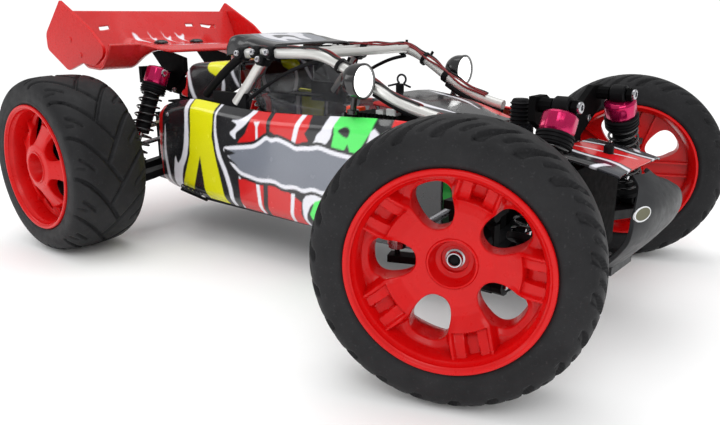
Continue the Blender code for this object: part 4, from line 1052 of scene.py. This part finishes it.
# ---------------------------------------------------------------- cage, lamps and wires
TUBE_R, WIRE_R = 2.85, 0.62
RAIL = (
    (-193, 42, 123.5), (-185, 42, 126), (-150, 42, 126.5), (-130, 41.5, 127), (-118, 40.5, 124),
    (-105, 38.5, 117.5), (-92, 36.3, 110.5), (-76, 34.5, 103), (-60, 33.5, 98.5), (-53, 33.5, 97.3),
)
# The part of a rail's line that wires run along, and where the thin black tube under it starts
WIRED, UNDER_TUBE_FROM = slice(6, 60), 44


def mirrored(path, side):
    return [(x, side * y, z) for x, y, z in path]


def rail(side, lift=0.0, out=0.0):
    """The upper rail's middle line, or a line beside it."""
    return fillet(mirrored([(x, y + out, z + lift) for x, y, z in RAIL], side), 9.0, 8)


def wavy(path, reach, waves, seed):
    """A path that wanders gently about itself, as a loose wire does."""
    path = even(path, 90)
    share = np.linspace(0.0, 1.0, len(path))
    fade = np.sin(share * math.pi) ** 0.4
    swing = reach * np.sin(share * waves * 2 * math.pi + seed) * fade
    rise = reach * 0.7 * np.cos(share * waves * 1.7 * math.pi + seed * 2.1) * fade
    return path + np.column_stack([np.zeros(len(path)), swing, rise])


def clamp(shape, screws, spot, ahead, side, radius=4.1, half=2.6):
    """A two-part black clamp round a rail, with a lug and a cap screw that faces outwards."""
    shape.lathe([
        (2.9, -half), (radius - 0.4, -half), (radius, 0.4 - half), (radius, half - 0.4), (radius - 0.4, half),
        (2.9, half), (2.9, -half),
    ], axis_frame(spot, ahead), 32)
    lug = np.array(spot) + (0.0, side * 2.6, -0.2)
    boss = [(0, -2.0), (3.0, -2.0), (3.3, -1.6), (3.3, 2.4), (2.9, 2.8), (0, 2.8)]
    shape.lathe(boss, axis_frame(lug, (0, side, 0.25)), 28)
    screws.screw(lug + (0.0, side * 2.7, 0.7), (0, side, 0.25), 1.9, 1.5)


def zip_tie(shape, spot, ahead, radius):
    """A strap round the tube with its square head and a cut tail."""
    ring = [(radius, -1.1), (radius + 0.7, -1.1), (radius + 0.7, 1.1), (radius, 1.1), (radius, -1.1)]
    matrix = axis_frame(spot, ahead)
    shape.lathe(ring, matrix, 28)
    shape.block((radius - 0.2, -1.9, -1.8), (radius + 2.5, 1.9, 1.8), matrix)
    shape.block((radius + 0.3, 1.2, -0.9), (radius + 1.0, 5.2, 0.9), matrix)


def lamp_wires(red, black, side):
    """The wires along a rail, the feed to its lamp and the pair that goes down behind the cockpit."""
    red.pipe(wavy(rail(side, 3.4, -0.6)[WIRED], 0.8, 5, 0.4 * side), WIRE_R, 10)
    red.pipe(wavy(rail(side, 2.7, -2.6)[WIRED], 0.9, 4, 1.7), WIRE_R, 10)
    black.pipe(wavy(rail(side, 3.6, 0.8)[WIRED], 0.7, 6, 2.6), WIRE_R, 10)
    feed = mirrored([(-105, 38.5, 118), (-101, 42, 115), (-98, 46, 112), (-99, 48, 108)], side)
    red.bent(feed, 3.0, 30, WIRE_R, 10)
    down = [(-166, 40.5, 122), (-178, 42.5, 110), (-186, 43.5, 101), (-189, 42, 94)]
    down = fillet(mirrored(down, side), 4.0)
    red.pipe(wavy(down, 0.7, 3, 1.1), WIRE_R, 10)
    black.pipe(wavy(down + (1.6, 0.0, 0.6), 0.7, 3, 2.3), WIRE_R, 10)


def cage():
    """The silver tubes, the black braces, the thin black tube under each rail's front, the clamps with their
    screws, and the wires held by ties.
    """
    tubes, braces, clamps, screws, red, black, ties = (Shape() for _ in range(7))
    pillar = ((-167, 42, 124.5), (-174, 43, 119), (-181, 44, 110), (-194, 45, 96))
    stay = ((-190, 42.5, 124), (-210, 42, 112), (-227, 42, 98.5))
    brace = ((-187, 44.5, 95.5), (-177, 43, 103), (-157, 42, 113.5), (-141, 41, 120), (-128, 40, 122.5))
    ties_at = {1: ((-112, 39.7, 121.0, -0.6), (-131, 41.5, 127.0, 0.0)), -1: ((-112, 39.7, 121.0, -0.6),)}
    for side in SIDES:
        tubes.pipe(even(rail(side), 130), TUBE_R, 28)
        tubes.bent(mirrored(pillar, side), 6.0, 40, TUBE_R, 28)
        braces.bent(mirrored(stay, side), 9.0, 40, 2.6, 24)
        braces.bent(mirrored(brace, side), 9.0, 60, 1.1, 16)
        # A thin black tube that runs 3.9 mm under the rail's front part.
        braces.pipe(even(rail(side, -3.9, -1.4)[UNDER_TUBE_FROM:], 60), 1.7, 18)
        for x, z in ((-174, 126.2), (-162, 126.4), (-188, 125.2)):
            clamp(clamps, screws, (x, side * 42, z), (1, 0, 0.02), side)
        clamp(clamps, screws, (-169, side * 42.6, 122.4), (0.6, 0, 0.8), side, 4.0, 2.2)
        clamp(clamps, screws, (-94, side * 36.6, 111.5), (0.86, 0, -0.46), side, 3.9, 1.9)
        lamp_wires(red, black, side)
        for x, y, z, tilt in ties_at[side]:
            zip_tie(ties, (x, side * y, z), (1, 0, tilt), 3.5)
    for x, y, z in ((-187, 42, 126), (-168, 42, 126), (-126, 41, 127)):
        tubes.pipe(even([(x, -y, z), (x, y, z)], 12), 2.4, 24)
    piece(tubes, "cage_tubes", "tube", replaces=["roll_cage"])
    piece(braces, "cage_braces", "black")
    piece(clamps, "cage_clamps", "black")
    piece(screws, "cage_screws", "steel")
    piece(red, "lamp_wires_red", "wire_red")
    piece(black, "lamp_wires_black", "wire_black")
    piece(ties, "cage_zip_ties", "black", bevel=0.2)


def lamp(side):
    """A domed shell on a bent foot, with a bright bowl and a lit lens."""
    x, y, z, r = -93, side * 48.5, 114.5, 9.0
    place = axis_frame((x, y, z), (1, 0, 0))
    turns = [math.pi / 2 * k / 12 for k in range(1, 12)]
    outside = [(0, -8.6)] + [(r * math.sin(a), 0.4 - r * math.cos(a)) for a in turns]
    bezel = [(0, 0.4), (0, 3.0), (0.25, 3.2), (0.25, 4.3), (-0.1, 4.6), (-0.9, 4.6), (-1.1, 3.6), (-1.4, 1.0)]
    body = Shape().lathe(outside + [(r + out, h) for out, h in bezel] + [(0, -3.0)], place, 64)
    body.lathe([(0, -9.8), (1.1, -9.8), (1.5, -9.3), (1.5, -8.0), (0, -8.0)], place, 24)
    body.bent([(x - 2, y, z - r + 0.6), (x - 3, y, 101), (x - 4, y * 0.98, 97.5)], 2.0, 12, 1.7, 18)
    washer = [(1.5, 0.0), (3.0, 0.2), (3.2, 0.6), (3.2, 2.2), (2.6, 2.6), (1.5, 2.6)]
    body.lathe(washer, axis_frame((x - 4, y * 0.98, 97.0), (0, 0, 1)), 28)
    name = hand(side)
    piece(body, f"lamp_shell_{name}", "gloss", replaces=[f"spot_lamp_{name}"])
    bowl = Shape().lathe([(7.5, 3.4), (6.6, 1.6), (5.0, 0.4), (3.4, -0.4), (0, -0.6)], place, 48)
    piece(bowl, f"lamp_reflector_{name}", "chrome")
    front = [(0, 3.3), (7.8, 3.3), (7.8, 3.7), (6.6, 4.15), (4.4, 4.6), (2.2, 4.85), (0, 4.95)]
    piece(Shape().lathe(front, place, 48), f"lamp_lens_{name}", "glow")


# ---------------------------------------------------------------- inside and front
def speed_control():
    """The electronics case behind the front deck: a lid, a finned heat sink, a switch and its leads."""
    x0, x1, y0, y1 = -120, -78, -33, -12
    case = Shape().block((x0, y0, 62), (x1, y1, 88))
    case.block((x0 + 1, y0 + 1, 87.5), (x1 - 1, y1 - 1, 90))
    for k in range(11):
        x = x0 + 10 + k * 2.9
        case.block((x, y0 + 1.5, 89), (x + 1.2, y1 - 1.5, 95.6))
    case.block((x0 + 1, y0 + 3, 89), (x0 + 8.2, y1 - 3, 94.6))
    piece(case, "speed_control", "black", replaces=["control_box"], bevel=0.35)
    knob = [(2.6, 94.4), (2.6, 97.4), (2.2, 98.1), (1.4, 98.3), (0, 98.3)]
    button = Shape().lathe(knob, Matrix.Translation((x0 + 4.5, -28, 0)), 32)
    button.block((x0 + 2.2, -22.5, 94.0), (x0 + 6.8, -17.5, 97.0))
    piece(button, "power_switch", "orange", bevel=0.4)
    plug = Shape().block((x1 - 10, y0 + 2, 95.2), (x1 - 4, y0 + 8, 99.0))
    plug.block((x1 - 18, y0 + 3, 95.2), (x1 - 13, y0 + 7, 97.6))
    piece(plug, "lead_plug", "white", bevel=0.4)
    leads = Shape()
    for k, (dy, dz) in enumerate(((0.0, 0.0), (1.5, 0.4), (3.0, 0.1))):
        path = fillet([
            (x1 - 6, y0 + 4 + dy, 97 + dz), (x1 + 4, y0 + 2 + dy, 100 + dz), (x1 + 16, y0 + 9 + dy, 98 + dz),
            (x1 + 30, y0 + 12 + dy, 92 + dz), (x1 + 34, -12 + dy, 84),
        ], 6.0)
        leads.pipe(wavy(path, 0.7, 2, k * 1.4), 0.75, 10)
    piece(leads, "control_leads", "wire_red")


# How far ahead of the front axle, the tub's floor and its edge
LINER = (
    (-201, 111, 119.5), (-196, 98, 116), (-186, 89, 108), (-160, 85, 100), (-134, 87, 97), (-124, 92, 97),
)


def liner():
    """A smoky clear tub under the roof, from the rear cover to the front deck, over black blocks that fill
    the gaps beside the rear cover as painted shade.
    """
    stations = []
    for ahead, floor, edge in LINER:
        half = 42.0 if ahead > -190 else 33.0 + (ahead + 201) * 0.6
        left = [(half, edge), (half - 3, edge - 3.0), (half - 9, floor + 1.5), (half - 16, floor)]
        section = [(-y, z) for y, z in left] + left[::-1]
        stations.append([(ahead, y, z) for y, z in section])
    tub = Shape().add(*film(stations, 1.8, 5.0, 9.0))
    piece(tub, "cockpit_liner", "smoke", wall=0.8, outward=(0, 0, 1), angle=60.0)
    # Black blocks in the gaps between the rear cover and the side panels: painted shade, where the shell
    # shows dark there.
    gap_shade_blocks = Shape()
    for side in SIDES:
        gap_shade_blocks.block((-263, side * 40.5 - 6.5, 91.6), (-202, side * 40.5 + 6.5, 93.0))
        gap_shade_blocks.block((-215, side * 44.6 - 1.6, 88.0), (-184, side * 44.6 + 1.6, 102.0))
    piece(gap_shade_blocks, "shell_valance", "black", bevel=0.3)


def body_clip(shape, x, y, z):
    """A bent wire clip: a loop that stands up and two legs that hold it."""
    turns = [math.radians(-60 + 300 * k / 24) for k in range(25)]
    loop = [(x + 3.0 * math.cos(a) + 1.2, y, z + 4.8 + 2.6 * math.sin(a)) for a in turns]
    near = [(x + 7.5, y, z + 0.6), (x + 3.4, y, z + 1.8)]
    far = [(x - 3.0, y + 0.8, z + 1.8), (x - 9.0, y + 0.8, z + 0.4)]
    shape.bent([*near, *loop, *far], 1.5, 70, 0.6, 10)


def body_mounts():
    """The posts through the shell with their clips, and a small chain and a rod on each side."""
    clips, posts = Shape(), Shape()
    post = [(0, -9.0), (2.4, -9.0), (2.4, 1.5), (1.9, 2.2), (0, 2.2)]
    for x, z, clipped in ((-102, 107.0, True), (-240, 120.0, True), (22, 85.0, False)):
        posts.lathe(post, Matrix.Translation((x, 0.0, z)), 24)
        if clipped:
            body_clip(clips, x, 0.0, z)
    for side in SIDES:
        for k in range(9):
            x, y, z = -243 + k * 2.3, side * 53.9 + side * (0.5 if k % 2 else 0.1), 37 - 0.25 * k
            turns = np.linspace(0, 2 * math.pi, 17)[:-1]
            ring = [(x + 1.9 * math.cos(a), y, z + 1.2 * math.sin(a)) for a in turns]
            clips.pipe(ring, 0.42, 8, closed=True)
        posts.pipe(even([(-249, side * 51.2, 33.6), (-222, side * 51.2, 30.4)], 8), 1.0, 12)
    piece(clips, "body_clips", "dark")
    piece(posts, "body_posts", "black")


# How far ahead of the front axle, and how far to each side
PLATE_SCREWS = (
    (-20, 9), (12, 10), (-50, 25), (-88, 34), (-150, 30), (-190, 34), (-230, 20), (-270, 14), (-302, 14),
)


def chassis_screws():
    """The screws in the side panels, under the main plate, and in the towers with the shocks' upper pins."""
    screws = Shape()
    for side in SIDES:
        for x, y, z in ((-259, 50.8, 60), (-259, 50.8, 84), (-118, 52.2, 40), (-60, 52.2, 40)):
            screws.screw((x, side * y, z), (0, side, 0), 1.7, 1.0)
    for x, y in PLATE_SCREWS:
        for side in SIDES:
            screws.screw((x, side * y, 28.0), (0, 0, -1), 2.7, 0.8)
    for end, tower in (("front", 0.0), ("rear", -WHEELBASE - 2.0)):
        ahead, top_y, top_z = SHOCK[end][:3]
        for side in SIDES:
            for y, z in ((11, 84), (22, 96)):
                for way in (1, -1):
                    screws.screw((tower + way * 1.7, side * y, z), (way, 0, 0), 1.9, 1.2)
            screws.screw((AXLE_X[end] + ahead + 7.0, side * top_y, top_z), (1, 0, 0), 2.6, 1.6)
    piece(screws, "chassis_screws", "steel")


def tower_boot():
    """A ribbed rubber boot on the front tower."""
    profile = [(0, 96)]
    for k in range(6):
        z = 96.5 + k * 1.9
        profile += [(4.6, z), (5.0, z + 0.5), (4.2, z + 1.1), (4.2, z + 1.5)]
    profile += [(3.4, 108.5), (0, 108.5)]
    piece(Shape().lathe(profile, Matrix.Translation((-15, -20, 0)), 32), "tower_boot", "black")


def arm_pins(end, side):
    """The ends of the lower arm's two hinge pins."""
    pins = Shape()
    head = [(0, -0.5), (1.5, -0.5), (1.5, 0.5), (1.1, 0.9), (0, 0.9)]
    for y, z, reach in ((22.0, 45.0, 15.0), (80.0, 38.0, 13.5)):
        for way in (1, -1):
            pins.lathe(head, axis_frame((AXLE_X[end] + way * reach, side * y, z), (way, 0, 0)), 20)
    corner = f"{end}_{hand(side)}"
    piece(pins, f"{corner}_arm_pins", "steel", f"{corner}_lower_arm")


# How far ahead of the front axle, the height and half the width
SHIELD = (
    (28, 28.2, 15), (34, 33, 20), (43, 43, 29), (49.5, 52, 34.5), (51, 58, 35.5), (50, 64, 32),
    (47, 69.5, 20), (44.5, 72, 11.5), (40, 76, 9),
)
SHIELD_COLS, SHIELD_ROWS = 71, 90
LABEL_AT = (-26.5, 63.5)
LABEL_LEAN = math.radians(24.0)


def bumper():
    """The skid shield on a fine grid, with shoulders and a tongue to the nose, and a plain oval label."""
    strips = []
    for t in np.linspace(-1, 1, SHIELD_COLS):
        strip = [(ahead - 3.5 * abs(t) ** 3, half * t, z) for ahead, z, half in SHIELD]
        strips.append(even(fillet(strip, 3.5), SHIELD_ROWS))
    grid = np.stack(strips, axis=1)
    shape = Shape().add(grid, quads(SHIELD_ROWS, SHIELD_COLS))
    shape.block((26.6, -13, 28.2), (33, 13, 31.4))
    made = piece(shape, "skid_shield", "satin", replaces=["front_bumper"], angle=50.0, outward=(1, 0, 0))
    thickened(made, 2.2, 0.0)
    rounded(made, 0.5)
    at = np.argmin(np.hypot(grid[..., 1] - LABEL_AT[0], grid[..., 2] - LABEL_AT[1]))
    i, j = np.unravel_index(at, grid.shape[:2])
    across = Vector(grid[i, j + 2] - grid[i, j - 2]).normalized()
    up = Vector(grid[i + 2, j] - grid[i - 2, j]).normalized()
    place = frame_of(grid[i, j], across, up, across.cross(up)) @ Matrix.Rotation(LABEL_LEAN, 4, "Z")
    for name, half_w, half_h, lift, kind in (
        ("label_ring", 5.9, 3.6, 1.35, "white"), ("label_face", 5.2, 2.9, 1.5, "olive"),
    ):
        outline = [(half_w * math.cos(a), half_h * math.sin(a)) for a in np.linspace(0, 2 * math.pi, 65)[:-1]]
        piece(Shape().slab(outline, 0.3, lift, place), name, kind, bevel=0.1)


# The finish of each CAD node that stays in view and isn't plain black, by a part of its name
CAD_FINISH = {
    "upper_link": "brass", "tie_rod": "steel", "chassis_plate": "plate", "battery_pack": "wrap",
    "motor": "can", "steering_servo": "pitch", "servo_horn": "pitch", "bulkhead": "pitch",
    "gear_case": "pitch",
}


def finish_cad_nodes():
    """The CAD nodes that stay in view get rounded edges and their own finish."""
    for name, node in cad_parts.items():
        kind = next((finish for key, finish in CAD_FINISH.items() if key in name), "black")
        node.data.materials.clear()
        node.data.materials.append(M[kind])
        if not node.hide_render:
            node.data.shade_smooth()
            node.data.set_sharp_from_angle(angle=math.radians(30))
            rounded(node, 0.22 if kind in ("steel", "brass") else 0.4)


# ---------------------------------------------------------------- studio, in metres
FLOOR_REACH = 6.0
SKY_SEEN, SKY_MIRRORED = 1.06, 0.5
# Each light's place, size and power. All face LIT_SPOT
LIGHTS = {
    "key": ((0.55, -0.75, 0.95), 0.5, 2.4), "top": ((-0.1, 0.1, 1.2), 0.9, 3.2),
    "side": ((-0.9, -0.7, 0.5), 0.4, 1.0),
}
LIT_SPOT = Vector((0.02, 0.0, 0.06))
CAMERA_AT = (0.2918, -0.3227, 0.1459)
CAMERA_LENS = 34.38
CAMERA_YAW, CAMERA_PITCH, CAMERA_ROLL = math.radians(130.1), -0.276, -0.005


def add_object(name, data):
    obj = bpy.data.objects.new(name, data)
    bpy.context.scene.collection.objects.link(obj)
    return obj


def aim(obj, place, ahead):
    """Puts a light or a camera at a place, facing ahead."""
    obj.location = place
    obj.rotation_mode = "QUATERNION"
    obj.rotation_quaternion = ahead.to_track_quat("-Z", "Y")


def studio_floor():
    mesh = bpy.data.meshes.new("studio_floor")
    corners = [(x * FLOOR_REACH, y * FLOOR_REACH, 0) for x, y in ((-1, -1), (1, -1), (1, 1), (-1, 1))]
    mesh.from_pydata(corners, [], [(0, 1, 2, 3)])
    mesh.materials.append(
        moulded("studio_floor", (250, 250, 250), 0.9, shade=0.004, grain=3.0, depth=0.01, shine=0.0)
    )
    add_object("studio_floor", mesh)


def studio_sky():
    """A white surround that is dimmer in the car's reflections."""
    world = bpy.data.worlds.new("studio")
    bpy.context.scene.world = world
    world.use_nodes = True
    tree = world.node_tree
    background = tree.nodes["Background"]
    background.inputs["Color"].default_value = (1.0, 1.0, 1.0, 1.0)
    ray = tree.nodes.new("ShaderNodeLightPath")
    dim = tree.nodes.new("ShaderNodeMapRange")
    dim.inputs["To Min"].default_value = SKY_SEEN
    dim.inputs["To Max"].default_value = SKY_MIRRORED
    tree.links.new(ray.outputs["Is Glossy Ray"], dim.inputs["Value"])
    tree.links.new(dim.outputs["Result"], background.inputs["Strength"])


def studio():
    """The floor, the surround, three lights and the camera."""
    studio_floor()
    studio_sky()
    for name, (place, size, power) in LIGHTS.items():
        light = bpy.data.lights.new(name, "AREA")
        light.size = size
        light.energy = power
        aim(add_object(name, light), place, LIT_SPOT - Vector(place))
    data = bpy.data.cameras.new("camera")
    data.sensor_width = 36.0
    data.lens = CAMERA_LENS
    data.clip_start = 0.01
    data.clip_end = 50.0
    camera = add_object("camera", data)
    level = math.cos(CAMERA_PITCH)
    ahead = Vector((math.cos(CAMERA_YAW) * level, math.sin(CAMERA_YAW) * level, math.sin(CAMERA_PITCH)))
    aim(camera, CAMERA_AT, ahead)
    camera.rotation_quaternion @= Matrix.Rotation(CAMERA_ROLL, 3, "Z").to_quaternion()
    bpy.context.scene.camera = camera
    bpy.context.scene.view_settings.view_transform = "Standard"


for END in AXLE_X:
    for SIDE in SIDES:
        tyre(END, SIDE)
        rim(END, SIDE)
        shock(END, SIDE)
for SIDE in SIDES:
    drive_shaft(SIDE)
    lamp(SIDE)
shell()
wing()
cage()
speed_control()
liner()
body_mounts()
chassis_screws()
tower_boot()
for END in AXLE_X:
    for SIDE in SIDES:
        arm_pins(END, SIDE)
bumper()
finish_cad_nodes()
studio()
